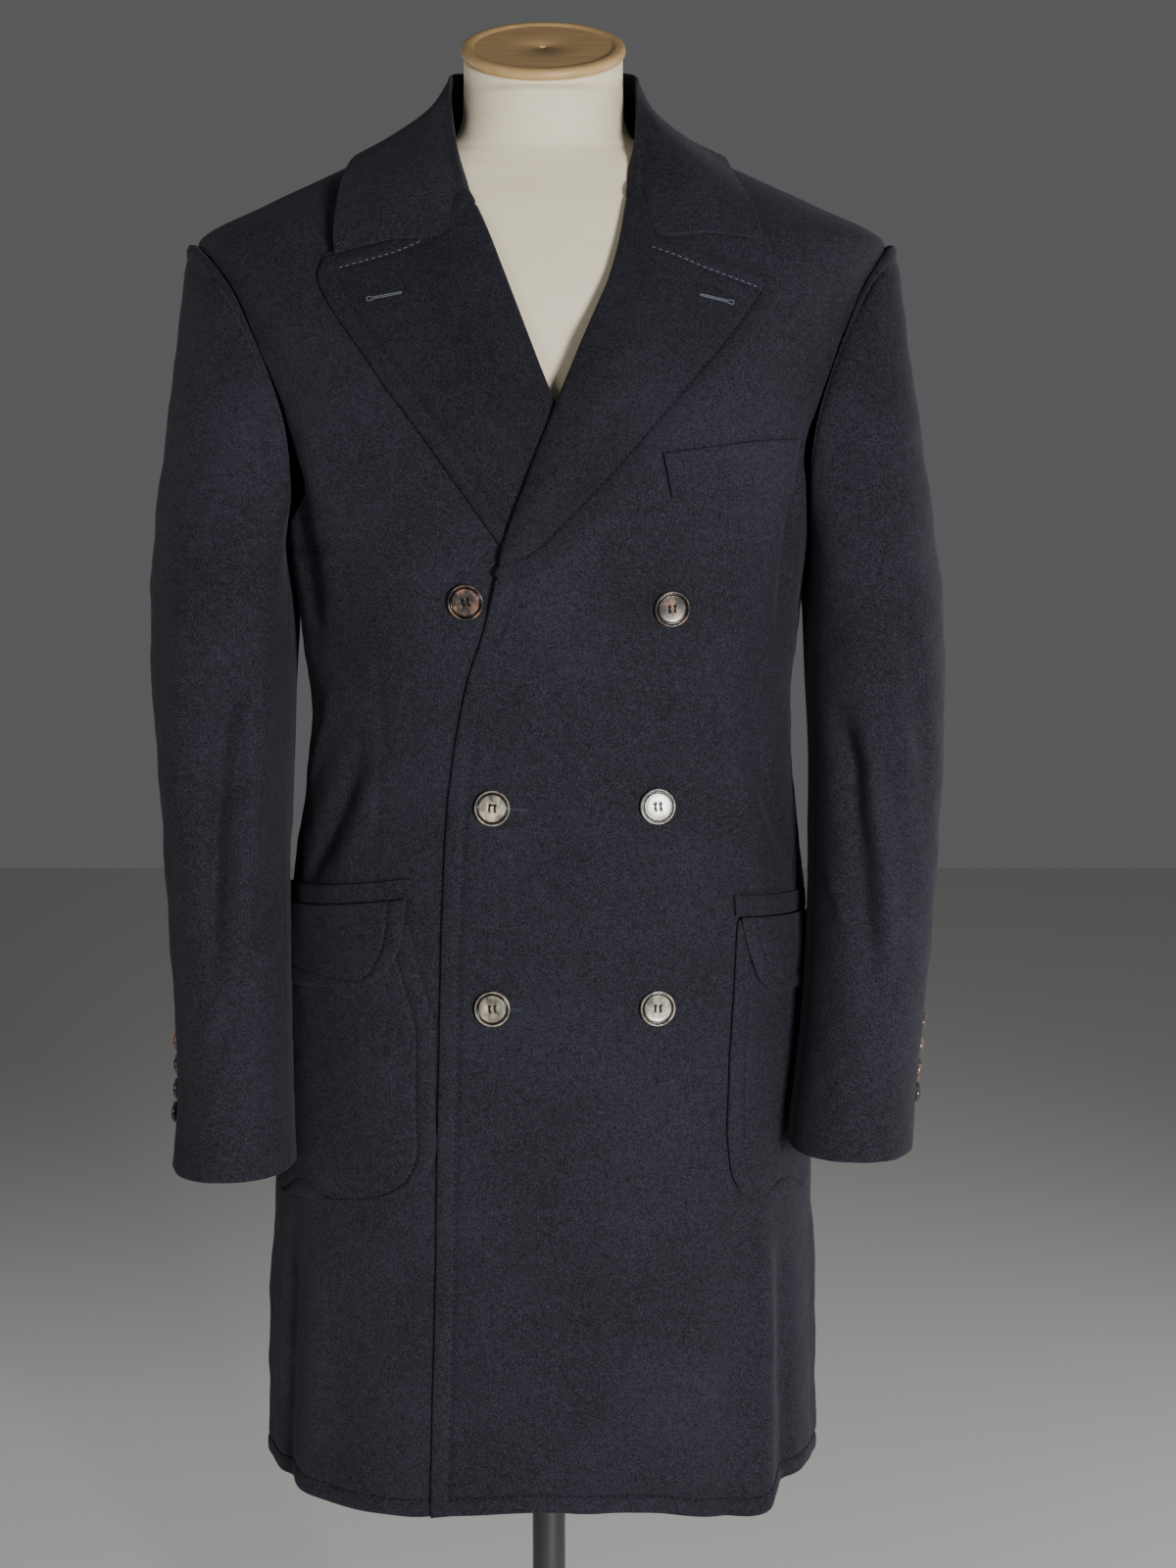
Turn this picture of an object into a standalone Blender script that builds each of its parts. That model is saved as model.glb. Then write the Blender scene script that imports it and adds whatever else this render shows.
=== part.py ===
"""A double-breasted wool overcoat on a limbless dress form.

Metres. +Z is up, the front of the coat faces -Y, and the origin is the centre of the stand's foot,
on the floor. "right" and "left" are the wearer's, so right_front is on the -X side.
"""
import math

import bpy
import numpy as np

for old in list(bpy.data.objects):
    bpy.data.objects.remove(old, do_unlink=True)

CLOTH = 0.0022        # wall of one layer of coating
SEAM = 0.0004         # air between two pieces that are sewn together
LAID = 0.0007         # air between a layer and the layer that it lies on
HEM = 0.525           # height of the hem at the sides
ARMPIT = 1.195
SHOULDER = 1.4135
NECK = 1.500

# The coat's body at each height: half widths to the wearer's right and left, depths to front and
# back, and how square the section is (2 is an ellipse).
BODY = np.array([
    # height, right, left, front, back, square
    (0.500, 0.2065, 0.1975, 0.139, 0.142, 2.5),
    (0.600, 0.2050, 0.1965, 0.138, 0.140, 2.5),
    (0.720, 0.2005, 0.1940, 0.136, 0.139, 2.5),
    (0.860, 0.1940, 0.1905, 0.132, 0.137, 2.5),
    (0.950, 0.1855, 0.1865, 0.128, 0.130, 2.5),
    (1.030, 0.1735, 0.1780, 0.118, 0.116, 2.5),
    (1.085, 0.1690, 0.1755, 0.115, 0.110, 2.5),
    (1.140, 0.1755, 0.1800, 0.118, 0.113, 2.5),
    (1.200, 0.1830, 0.1860, 0.124, 0.119, 2.5),
    (1.300, 0.2060, 0.2020, 0.123, 0.121, 2.5),
    (1.380, 0.2340, 0.2280, 0.103, 0.108, 2.45),
    (1.4135, 0.2460, 0.2400, 0.087, 0.096, 2.4),
    (1.440, 0.2000, 0.1915, 0.073, 0.085, 2.3),
    (1.460, 0.1565, 0.1470, 0.061, 0.077, 2.3),
    (1.480, 0.1140, 0.1045, 0.052, 0.070, 2.25),
    (1.502, 0.0770, 0.0730, 0.045, 0.064, 2.2)])

# Angles from the front centre, in degrees, where the armholes are cut.
ARMHOLE = np.array([
    # height, front right, front left, back
    (1.195, 96.0, 96.0, 96.0),
    (1.203, 78.0, 82.0, 110.0),
    (1.222, 65.0, 71.0, 117.0),
    (1.252, 57.5, 65.0, 121.0),
    (1.288, 55.5, 63.5, 123.0),
    (1.322, 56.5, 64.5, 123.0),
    (1.352, 58.5, 66.0, 121.0),
    (1.378, 61.0, 68.0, 118.0),
    (1.396, 65.0, 71.0, 113.0),
    (1.4075, 72.0, 77.0, 106.0),
    (1.4135, 91.0, 91.0, 91.0)])

ROWS_BELOW = (HEM, 0.600, 0.690, 0.780, 0.865, 0.930, 0.985, 1.035, 1.085, 1.130, 1.165)
ROWS_ABOVE = (1.426, 1.440, 1.452, 1.466, 1.482, NECK)

# Where each front ends at the middle of the body: the overlapping edge, then the roll line.
LEFT_EDGE = np.array([
    # height, x
    (0.500, -0.0810), (0.600, -0.0785), (0.700, -0.0755), (0.830, -0.0725), (0.970, -0.0685),
    (1.035, -0.0645), (1.089, -0.0565), (1.116, -0.0505), (1.143, -0.0415), (1.169, -0.0348),
    (1.202, -0.0259), (1.238, -0.0125), (1.270, 0.0006), (1.300, 0.0137), (1.338, 0.0290),
    (1.360, 0.0385), (1.382, 0.0477), (1.416, 0.0564), (1.455, 0.0622), (1.478, 0.0665),
    (1.505, 0.0740)])
RIGHT_EDGE = np.array([
    # height, x
    (0.500, 0.1150), (0.700, 0.1130), (0.900, 0.1110), (1.000, 0.1080), (1.060, 0.1020),
    (1.089, 0.0960), (1.116, 0.0880), (1.143, 0.0770), (1.170, 0.0650), (1.200, 0.0510),
    (1.240, 0.0310), (1.293, 0.0072), (1.324, -0.0059), (1.360, -0.0198), (1.390, -0.0315),
    (1.419, -0.0429), (1.450, -0.0557), (1.475, -0.0655), (1.505, -0.0770)])

# How far the hem hangs below or above its height, by angle.
HEMLINE = np.array([
    # angle, drop
    (-180, 0.002), (-120, 0.001), (-75, 0.000), (-55, 0.001), (-40, -0.004), (-25, -0.003),
    (-12, 0.002), (0, 0.005), (20, 0.003), (32, -0.005), (43, -0.012), (55, 0.001),
    (75, 0.002), (120, 0.001), (180, 0.002)])

# The sleeves' outlines, seen from the front and from the side.
SLEEVE = np.array([
    # height, right outer, right inner, left outer, left inner, forward, half depth
    (1.420, 0.2535, 0.190, 0.2485, 0.186, -0.004, 0.066),
    (1.375, 0.2600, 0.186, 0.2552, 0.184, -0.003, 0.072),
    (1.333, 0.2654, 0.184, 0.2610, 0.184, -0.003, 0.076),
    (1.290, 0.2702, 0.182, 0.2672, 0.185, -0.004, 0.078),
    (1.250, 0.2758, 0.181, 0.2732, 0.185, -0.006, 0.077),
    (1.207, 0.2808, 0.180, 0.2790, 0.186, -0.010, 0.075),
    (1.165, 0.2830, 0.179, 0.2842, 0.186, -0.016, 0.073),
    (1.108, 0.2826, 0.181, 0.2856, 0.187, -0.026, 0.070),
    (1.052, 0.2775, 0.182, 0.2842, 0.189, -0.038, 0.068),
    (0.998, 0.2724, 0.183, 0.2800, 0.188, -0.050, 0.066),
    (0.943, 0.2674, 0.181, 0.2748, 0.186, -0.062, 0.064),
    (0.888, 0.2626, 0.180, 0.2687, 0.183, -0.073, 0.062),
    (0.833, 0.2599, 0.179, 0.2626, 0.177, -0.083, 0.060),
    (0.792, 0.2613, 0.178, 0.2598, 0.172, -0.089, 0.060),
    (0.755, 0.2660, 0.176, 0.2577, 0.170, -0.092, 0.061)])
CUFF_RIGHT = 0.770
CUFF_LEFT = 0.784
SLEEVE_STEPS = (0.0, 0.02, 0.05, 0.10, 0.16, 0.24, 0.33, 0.43, 0.53, 0.63, 0.73, 0.82, 0.91, 1.0)

# Turned-back lapels, from the break up to the gorge, on the flat of the chest.
LAPEL_RIGHT = np.array([
    # roll x, roll height, edge x, edge height
    (0.0220, 1.260, -0.0160, 1.187), (0.0072, 1.293, -0.0356, 1.214), (-0.0030, 1.317, -0.0580, 1.246),
    (-0.0110, 1.337, -0.0808, 1.278), (-0.0198, 1.360, -0.1000, 1.303), (-0.0310, 1.389, -0.1190, 1.330),
    (-0.0400, 1.412, -0.1390, 1.358), (-0.0480, 1.430, -0.1490, 1.375), (-0.0530, 1.439, -0.1520, 1.3855),
    (-0.0550, 1.4435, -0.1490, 1.3925)])
LAPEL_LEFT = np.array([
    # roll x, roll height, edge x, edge height
    (-0.0315, 1.185, -0.0285, 1.178), (-0.0190, 1.221, 0.0020, 1.191), (-0.0060, 1.254, 0.0290, 1.217),
    (0.0080, 1.287, 0.0560, 1.246), (0.0213, 1.319, 0.0830, 1.277), (0.0350, 1.352, 0.1090, 1.307),
    (0.0470, 1.381, 0.1320, 1.334), (0.0545, 1.408, 0.1510, 1.359), (0.0590, 1.435, 0.1590, 1.374),
    (0.0612, 1.4490, 0.1570, 1.3835)])
KINK = 0.14           # share of the lapel's width at which its top edge turns down from the roll
DIP_RIGHT = 0.0242    # how far that corner lies below a straight line
DIP_LEFT = 0.0278

# The collar, from the right gorge round the back of the neck to the left gorge.
COLLAR = np.array([
    # foot of the stand x, y, z, fold x, y, z, upper fall x, y, z, lower fall x, y, z, edge x, y, z
    (-0.0500, -0.0670, 1.4490, -0.0560, -0.0735, 1.4510, -0.0672, -0.0965, 1.4180,
     -0.1040, -0.0985, 1.4095, -0.1415, -0.0950, 1.4005),
    (-0.0555, -0.0560, 1.4610, -0.0600, -0.0600, 1.4720, -0.0760, -0.0800, 1.4520,
     -0.1120, -0.0905, 1.4300, -0.1430, -0.0895, 1.4170),
    (-0.0615, -0.0420, 1.4770, -0.0635, -0.0410, 1.4980, -0.0820, -0.0630, 1.4760,
     -0.1160, -0.0740, 1.4530, -0.1415, -0.0740, 1.4400),
    (-0.0680, -0.0240, 1.4895, -0.0660, -0.0170, 1.5220, -0.0820, -0.0345, 1.5010,
     -0.1110, -0.0460, 1.4790, -0.1385, -0.0480, 1.4630),
    (-0.0725, 0.0040, 1.4950, -0.0665, 0.0110, 1.5360, -0.0810, 0.0050, 1.5140,
     -0.1050, 0.0020, 1.4955, -0.1320, 0.0000, 1.4805),
    (-0.0660, 0.0330, 1.4960, -0.0590, 0.0380, 1.5430, -0.0720, 0.0440, 1.5200,
     -0.0900, 0.0500, 1.4990, -0.1130, 0.0540, 1.4830),
    (-0.0370, 0.0550, 1.4960, -0.0340, 0.0565, 1.5470, -0.0410, 0.0680, 1.5240,
     -0.0490, 0.0780, 1.4990, -0.0600, 0.0840, 1.4780),
    (0.0000, 0.0605, 1.4960, 0.0000, 0.0620, 1.5480, 0.0000, 0.0745, 1.5250,
     0.0000, 0.0850, 1.5000, 0.0000, 0.0905, 1.4770),
    (0.0360, 0.0550, 1.4960, 0.0330, 0.0565, 1.5470, 0.0400, 0.0680, 1.5240,
     0.0480, 0.0780, 1.4990, 0.0585, 0.0840, 1.4780),
    (0.0635, 0.0330, 1.4960, 0.0565, 0.0380, 1.5430, 0.0690, 0.0440, 1.5200,
     0.0865, 0.0500, 1.4980, 0.1085, 0.0540, 1.4830),
    (0.0700, 0.0040, 1.4950, 0.0632, 0.0110, 1.5345, 0.0760, 0.0050, 1.5120,
     0.0990, 0.0020, 1.4925, 0.1260, 0.0000, 1.4790),
    (0.0670, -0.0240, 1.4890, 0.0630, -0.0170, 1.5200, 0.0790, -0.0330, 1.4990,
     0.1060, -0.0440, 1.4760, 0.1320, -0.0450, 1.4600),
    (0.0625, -0.0420, 1.4760, 0.0630, -0.0410, 1.4970, 0.0830, -0.0600, 1.4760,
     0.1120, -0.0720, 1.4540, 0.1395, -0.0720, 1.4415),
    (0.0575, -0.0545, 1.4625, 0.0628, -0.0560, 1.4760, 0.0810, -0.0740, 1.4540,
     0.1120, -0.0880, 1.4340, 0.1450, -0.0870, 1.4260),
    (0.0560, -0.0635, 1.4500, 0.0622, -0.0680, 1.4545, 0.0750, -0.0950, 1.4185,
     0.1115, -0.0990, 1.4140, 0.1475, -0.0965, 1.4105)])
FALL_KNOTS = (0.0, 0.26, 0.60, 1.0)    # shares of the fall at which the table gives it

# Patch pockets: for each height, the edge toward the front as x, and the edge toward the side as
# an angle. The straps over the pocket mouths and the flaps are laid on them.
PATCH_RIGHT = np.array([
    # height, front x, side angle
    (0.748, -0.1330, 60.0), (0.753, -0.1080, 66.0), (0.763, -0.0880, 70.0), (0.779, -0.0765, 72.0),
    (0.820, -0.0750, 73.0), (0.868, -0.0745, 73.0), (0.910, -0.0845, 73.0), (0.945, -0.0925, 73.0)])
PATCH_LEFT = np.array([
    # height, front x, side angle
    (0.744, 0.1480, 60.0), (0.749, 0.1380, 66.0), (0.762, 0.1290, 70.0), (0.779, 0.1255, 72.0),
    (0.805, 0.1240, 73.0), (0.850, 0.1255, 73.0), (0.910, 0.1290, 73.0), (0.945, 0.1310, 73.0)])
FLAP_RIGHT = np.array([
    # height, front x, side angle
    (0.9010, -0.1230, 71.0), (0.9035, -0.1165, 73.0), (0.9230, -0.1000, 74.0), (0.9620, -0.0930, 74.0)])
FLAP_LEFT = np.array([
    # height, front x, side angle
    (0.8930, 0.1560, 71.0), (0.8955, 0.1510, 73.0), (0.9180, 0.1390, 74.0), (0.9470, 0.1315, 74.0)])
BAND_RIGHT = np.array([
    # height, front x, side angle
    (0.9630, -0.0915, 73.0), (0.9760, -0.0905, 73.0)])
BAND_LEFT = np.array([
    # height, front x, side angle
    (0.9480, 0.1290, 73.0), (0.9620, 0.1280, 73.0)])
SLOPE_RIGHT = 0.16    # fall of the pockets toward the side, for each metre across
SLOPE_LEFT = 0.09
WELT = np.array([
    # x, lower height, upper height
    (0.0850, 1.2365, 1.2660), (0.1020, 1.2378, 1.2685), (0.1250, 1.2392, 1.2720),
    (0.1500, 1.2405, 1.2755), (0.1745, 1.2400, 1.2770)])

FRONT_BUTTONS = (
    # name, x, height, front that it is on, air under it
    ("button_top_right", -0.0523, 1.1667, "right", 0.0006),
    ("button_middle_right", -0.0349, 1.0252, "left", 0.0006),
    ("button_bottom_right", -0.0351, 0.8890, "left", 0.0006),
    ("button_top_left", 0.0853, 1.1625, "left", 0.0006),
    ("button_middle_left", 0.0764, 1.0258, "left", 0.0006),
    ("button_bottom_left", 0.0766, 0.8882, "left", 0.0003))
BUTTON_ACROSS = 0.0245
BUTTON_THICK = 0.0042
SLEEVE_BUTTON_ACROSS = 0.0155
SLEEVE_BUTTON_THICK = 0.0034
SLEEVE_BUTTON_DROPS = (0.0310, 0.0475, 0.0640, 0.0805)   # above the cuff's edge

POLE_RADIUS = 0.0125
BASE_RADIUS = 0.185
BASE_THICK = 0.022
NECK_RADIUS = 0.0565
CAP_TILT = math.radians(28.0)


def material(name, colour, rough, metal=0.0):
    made = bpy.data.materials.new(name)
    made.use_nodes = True
    shader = made.node_tree.nodes["Principled BSDF"]
    shader.inputs["Base Color"].default_value = (*colour, 1.0)
    shader.inputs["Roughness"].default_value = rough
    shader.inputs["Metallic"].default_value = metal
    return made


WOOL = material("navy_wool", (0.010, 0.011, 0.020), 0.95)
HORN = material("horn_button", (0.045, 0.030, 0.022), 0.35)
LINEN = material("linen_form", (0.72, 0.62, 0.43), 0.9)
WOOD = material("wood_cap", (0.42, 0.27, 0.12), 0.6)
STEEL = material("painted_stand", (0.03, 0.03, 0.03), 0.4)


def smooth(table, column, at):
    """The column's value at each height: a cubic between rows that never overshoots them."""
    x = table[:, 0]
    y = table[:, column]
    step = np.diff(x)
    rise = np.diff(y) / step
    slope = np.concatenate([rise[:1], (rise[1:] + rise[:-1]) / 2, rise[-1:]])
    turning = rise[1:] * rise[:-1] <= 0
    slope[1:-1][turning] = 0.0
    at = np.clip(np.asarray(at, float), x[0], x[-1])
    k = np.clip(np.searchsorted(x, at, side="right") - 1, 0, len(step) - 1)
    t = (at - x[k]) / step[k]
    return (y[k] * (1 + 2 * t) * (1 - t) ** 2 + y[k + 1] * t ** 2 * (3 - 2 * t)
            + step[k] * (slope[k] * t * (1 - t) ** 2 - slope[k + 1] * t ** 2 * (1 - t)))


def body(angle, height):
    """Points of the coat's lining side. Angle 0 is the front centre, -90 the wearer's right."""
    angle = np.radians(angle)
    height = np.asarray(height, float)
    s, c = np.sin(angle), np.cos(angle)
    square = smooth(BODY, 5, height)
    size = (np.abs(s) ** square + np.abs(c) ** square) ** (1 / square)
    wide = np.where(s < 0, smooth(BODY, 1, height), smooth(BODY, 2, height))
    deep = np.where(c > 0, smooth(BODY, 3, height), smooth(BODY, 4, height))
    return np.stack([wide * s / size, -deep * c / size, height + 0 * s], axis=-1)


def unit(v):
    return v / np.maximum(np.linalg.norm(v, axis=-1, keepdims=True), 1e-12)


def body_normal(angle, height):
    across = body(angle + 0.5, height) - body(angle - 0.5, height)
    up = body(angle, height + 0.004) - body(angle, height - 0.004)
    return unit(np.cross(across, up))


def angle_at(x, height):
    """The angle on the front of the body at which it is x from the middle."""
    x = np.asarray(x, float)
    wide = np.where(x < 0, smooth(BODY, 1, height), smooth(BODY, 2, height))
    square = smooth(BODY, 5, height)
    share = np.clip(np.abs(x) / wide, 0, 0.9999)
    return np.degrees(np.arctan2(np.sign(x) * share, (1 - share ** square) ** (1 / square)))


def ease(t):
    t = np.clip(t, 0, 1)
    return t * t * (3 - 2 * t)


def overlap_lift(x, height):
    """How far the left front stands off the body, to pass over the right front and its lapel."""
    over_front = (CLOTH + 1.5 * LAID) * (1 - ease((x - 0.122) / 0.045)) * (1 - ease((height - 1.310) / 0.06))
    past_edge = x - smooth(LEFT_EDGE, 1, height)
    over_lapel = (CLOTH + 3 * LAID) * ease((height - 1.150) / 0.035) * (1 - ease((height - 1.330) / 0.06))
    return over_front + over_lapel * (1 - ease((past_edge - 0.035) / 0.05))


def add(name, points, faces, mat, rounded=True):
    mesh = bpy.data.meshes.new(name)
    mesh.from_pydata([tuple(map(float, p)) for p in points], [], faces)
    mesh.materials.append(mat)
    mesh.polygons.foreach_set("use_smooth", [rounded] * len(mesh.polygons))
    mesh.update()
    made = bpy.data.objects.new(name, mesh)
    bpy.context.scene.collection.objects.link(made)
    return made


def shell(name, inner, outer, mat, ring=False):
    """A closed wall between two grids of points. With ring, the last column joins the first."""
    rows, cols = inner.shape[:2]
    last = cols if ring else cols - 1
    faces = []
    offset = rows * cols

    def index(i, j):
        return i * cols + j % cols

    for i in range(rows - 1):
        for j in range(last):
            a, b, c, d = index(i, j), index(i, j + 1), index(i + 1, j + 1), index(i + 1, j)
            faces.append((offset + a, offset + b, offset + c, offset + d))
            faces.append((d, c, b, a))
    for j in range(last):
        a, b = index(0, j), index(0, j + 1)
        faces.append((a, b, offset + b, offset + a))
        a, b = index(rows - 1, j), index(rows - 1, j + 1)
        faces.append((b, a, offset + a, offset + b))
    if not ring:
        for i in range(rows - 1):
            a, b = index(i, 0), index(i + 1, 0)
            faces.append((b, a, offset + a, offset + b))
            a, b = index(i, cols - 1), index(i + 1, cols - 1)
            faces.append((a, b, offset + b, offset + a))
    return add(name, np.concatenate([inner.reshape(-1, 3), outer.reshape(-1, 3)]), faces, mat)


def grid_normal(points):
    """Unit normals of a grid whose columns run to the right and rows run up, seen from outside."""
    across = np.gradient(points, axis=1)
    up = np.gradient(points, axis=0)
    return unit(np.cross(across, up))


def panel(name, heights, first, last, columns, lift=0.0, hem=True, slope=0.0):
    """A layer of cloth on the body, between two angles at each height, the lower angle first."""
    share = np.linspace(0, 1, columns)
    angle = first[:, None] * (1 - share) + last[:, None] * share
    height = heights[:, None] + 0 * angle
    if hem:
        fade = np.clip(1 - (height - HEM) / 0.20, 0, 1)
        height = height + smooth(HEMLINE, 1, angle) * fade
    if slope:
        across = np.abs(body(angle, height)[..., 0])
        height = height - slope * (across - across.min(axis=1, keepdims=True))
    off = lift(angle, height) if callable(lift) else lift
    normal = body_normal(angle, height)
    inner = body(angle, height) + normal * np.asarray(off)[..., None]
    return shell(name, inner, inner + normal * CLOTH, WOOL)


def seam_half(height):
    return np.degrees(SEAM / 2 / smooth(BODY, 3, height))


ROWS = np.array(ROWS_BELOW + tuple(ARMHOLE[:, 0]) + ROWS_ABOVE)


def armhole_angle(column, height):
    below, above = height < ARMPIT - 1e-6, height > SHOULDER + 1e-6
    return np.where(below, 96.0, np.where(above, 91.0, smooth(ARMHOLE, column, height)))


half = seam_half(ROWS)
right_in = angle_at(smooth(RIGHT_EDGE, 1, ROWS), ROWS)
left_in = angle_at(smooth(LEFT_EDGE, 1, ROWS), ROWS)
panel("right_front", ROWS, -(armhole_angle(1, ROWS) - half), right_in, 13)
panel("left_front", ROWS, left_in, armhole_angle(2, ROWS) - half, 13,
      lambda angle, height: overlap_lift(body(angle, height)[..., 0], height))
panel("back_left", ROWS, armhole_angle(3, ROWS) + half, 180 - 0.5 * half, 9)
panel("back_right", ROWS, -180 + 0.5 * half, -(armhole_angle(3, ROWS) + half), 9)


def body_side(y, height):
    """The half width of the coat's body at a depth."""
    square = smooth(BODY, 5, height)
    deep = np.where(y < 0, smooth(BODY, 3, height), smooth(BODY, 4, height))
    share = np.clip(np.abs(y) / deep, 0, 0.995)
    return (1 - share ** square) ** (1 / square), deep


def sleeve_grid(side, outer_column, inner_column, cuff, front_column):
    """The inside of one sleeve: rows from the armhole to the cuff, columns round it."""
    rise = ARMHOLE[:, 0]
    front = np.stack([side * ARMHOLE[:, front_column], rise], axis=-1)
    back = np.stack([side * ARMHOLE[:, 3], rise], axis=-1)[-2:0:-1]
    loop = np.concatenate([front, back])
    mouth = body(loop[:, 0], loop[:, 1])
    low = 1 - ease((loop[:, 1] - ARMPIT - 0.02) / 0.06)
    mouth = mouth + body_normal(loop[:, 0], loop[:, 1]) * (CLOTH + LAID + (CLOTH + 0.0012) * low)[:, None]
    mouth[len(front) - 1] += (side * 0.0012, 0, 0)
    step = np.linalg.norm(np.diff(np.concatenate([mouth, mouth[:1]]), axis=0), axis=-1)
    run = np.concatenate([[0], np.cumsum(step)])
    top = len(front) - 1
    turn = np.where(np.arange(len(loop)) <= top, 180 * run[:-1] / run[top],
                    180 + 180 * (run[:-1] - run[top]) / (run[-1] - run[top]))
    t = np.array(SLEEVE_STEPS)[:, None]
    height = mouth[None, :, 2] * (1 - t) + cuff * t
    twist = -22.0 * t
    around = np.radians(turn[None, :] + twist * np.sin(np.radians(turn[None, :] / 2)) ** 2)

    def outline(level):
        out = column_at(outer_column, level)
        inn = column_at(inner_column, level)
        middle, wide = (out + inn) / 2, (out - inn) / 2 - CLOTH
        depth = column_at(6, level) - CLOTH
        size = (np.abs(np.cos(around)) ** 2.3 + np.abs(np.sin(around)) ** 2.3) ** (1 / 2.3)
        x = middle - wide * np.cos(around) / size
        y = column_at(5, level) - depth * np.sin(around) / size
        return x, y

    x, y = outline(height)
    x0, y0 = outline(np.broadcast_to(mouth[None, :, 2], height.shape))
    reach = 0.012 + 0.050 * np.abs(np.sin(np.radians(turn)))[None, :]
    fade = np.exp(-(mouth[None, :, 2] - height) / reach)
    x = x + (side * mouth[None, :, 0] - x0) * fade
    y = y + (mouth[None, :, 1] - y0) * fade
    share, deep = body_side(y, height)
    wide = smooth(BODY, 1 if side < 0 else 2, height)
    pocket = ease((height - 0.70) / 0.05) * (1 - ease((height - 0.99) / 0.03)) * (y < 0)
    clear = wide * share + 2 * CLOTH + 0.0028 + 0.0065 * pocket * ease((-y - 0.005) / 0.02)
    inside = np.abs(y) < deep
    x = np.where(inside & (t > 0), np.maximum(x, clear), x)
    return np.stack([side * x, y, height], axis=-1), turn


def column_at(column, level):
    """A value of the sleeve table, whose heights run downward."""
    flipped = SLEEVE[::-1]
    return smooth(flipped, column, level)


def sleeve(side, word, outer_column, inner_column, cuff, front_column):
    """Top and under sleeve, and the buttons by the hind seam."""
    inside, turn = sleeve_grid(side, outer_column, inner_column, cuff, front_column)
    columns = inside.shape[1]
    closed = np.concatenate([inside[:, -1:], inside, inside[:, :1]], axis=1)
    across = (closed[:, 2:] - closed[:, :-2])
    up = -np.gradient(inside, axis=0)
    normal = unit(np.cross(across, up)) * side
    outside = inside + normal * CLOTH
    fore = int(np.argmin(np.abs(turn - 24)))
    hind = int(np.argmin(np.abs(turn - 232)))
    top = np.arange(fore, hind + 1)
    under = np.arange(hind, fore + columns + 1) % columns
    for piece, keep in (("top", top), ("under", under)):
        inner = inside[::-1][:, keep].copy()
        outer = outside[::-1][:, keep].copy()
        for grid in (inner, outer):
            for edge, beside in ((0, 1), (-1, -2)):
                grid[:, edge] += unit(grid[:, beside] - grid[:, edge]) * SEAM / 2
        if side > 0:
            inner, outer = inner, outer
        else:
            inner, outer = inner[:, ::-1], outer[:, ::-1]
        shell(f"sleeve_{word}_{piece}", inner, outer, WOOL)
    return inside, outside, turn, hind


def lathe(name, profile, place, turn, segments, mat):
    """A turned piece. The profile runs from the axis at one end to the axis at the other."""
    points = []
    faces = []
    rings = []
    for radius, height in profile:
        if radius < 1e-6:
            rings.append([len(points)])
            points.append((0.0, 0.0, height))
        else:
            rings.append(list(range(len(points), len(points) + segments)))
            for k in range(segments):
                around = 2 * math.pi * k / segments
                points.append((radius * math.cos(around), radius * math.sin(around), height))
    for low, high in zip(rings[:-1], rings[1:]):
        for k in range(segments):
            n = (k + 1) % segments
            if len(low) == 1:
                faces.append((low[0], high[n], high[k]))
            elif len(high) == 1:
                faces.append((low[k], low[n], high[0]))
            else:
                faces.append((low[k], low[n], high[n], high[k]))
    made = add(name, points, faces, mat)
    made.location = place
    made.rotation_mode = "QUATERNION"
    made.rotation_quaternion = turn
    return made


def facing(direction):
    from mathutils import Vector
    return Vector(tuple(map(float, direction))).to_track_quat("Z", "Y")


def button_profile(across, thick):
    r = across / 2
    return ((0, 0), (0.72 * r, 0), (r, 0.35 * thick), (0.97 * r, 0.80 * thick), (0.86 * r, thick),
            (0.70 * r, 0.66 * thick), (0, 0.60 * thick))


right_sleeve = sleeve(-1, "right", 1, 2, CUFF_RIGHT, 1)
left_sleeve = sleeve(1, "left", 3, 4, CUFF_LEFT, 2)


def sleeve_buttons(word, made, side):
    inside, outside, turn, hind = made
    column = hind - 1
    line, facing_out = outside[:, column], unit(outside[:, column] - inside[:, column])
    line2 = outside[:, column - 1]
    for number, above in enumerate(SLEEVE_BUTTON_DROPS, start=1):
        level = line[-1, 2] + above
        k = np.interp(level, line[::-1, 2], np.arange(len(line))[::-1])
        i = int(k)
        f = k - i
        place = (line[i] * (1 - f) + line[i + 1] * f) * 0.72 + (line2[i] * (1 - f) + line2[i + 1] * f) * 0.28
        out = unit(facing_out[i])
        lathe(f"sleeve_button_{word}_{number}", button_profile(SLEEVE_BUTTON_ACROSS, SLEEVE_BUTTON_THICK),
              place + out * 0.0011, facing(out), 12, HORN)


sleeve_buttons("right", right_sleeve, -1)
sleeve_buttons("left", left_sleeve, 1)


def on_front(x, height, lift):
    """Points standing off the front of the body, and their normals."""
    angle = angle_at(x, height)
    normal = body_normal(angle, height)
    return body(angle, height) + normal * np.asarray(lift)[..., None], normal


def front_lift(x, height, left):
    return overlap_lift(x, height) if left else np.zeros(np.shape(x))


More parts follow.
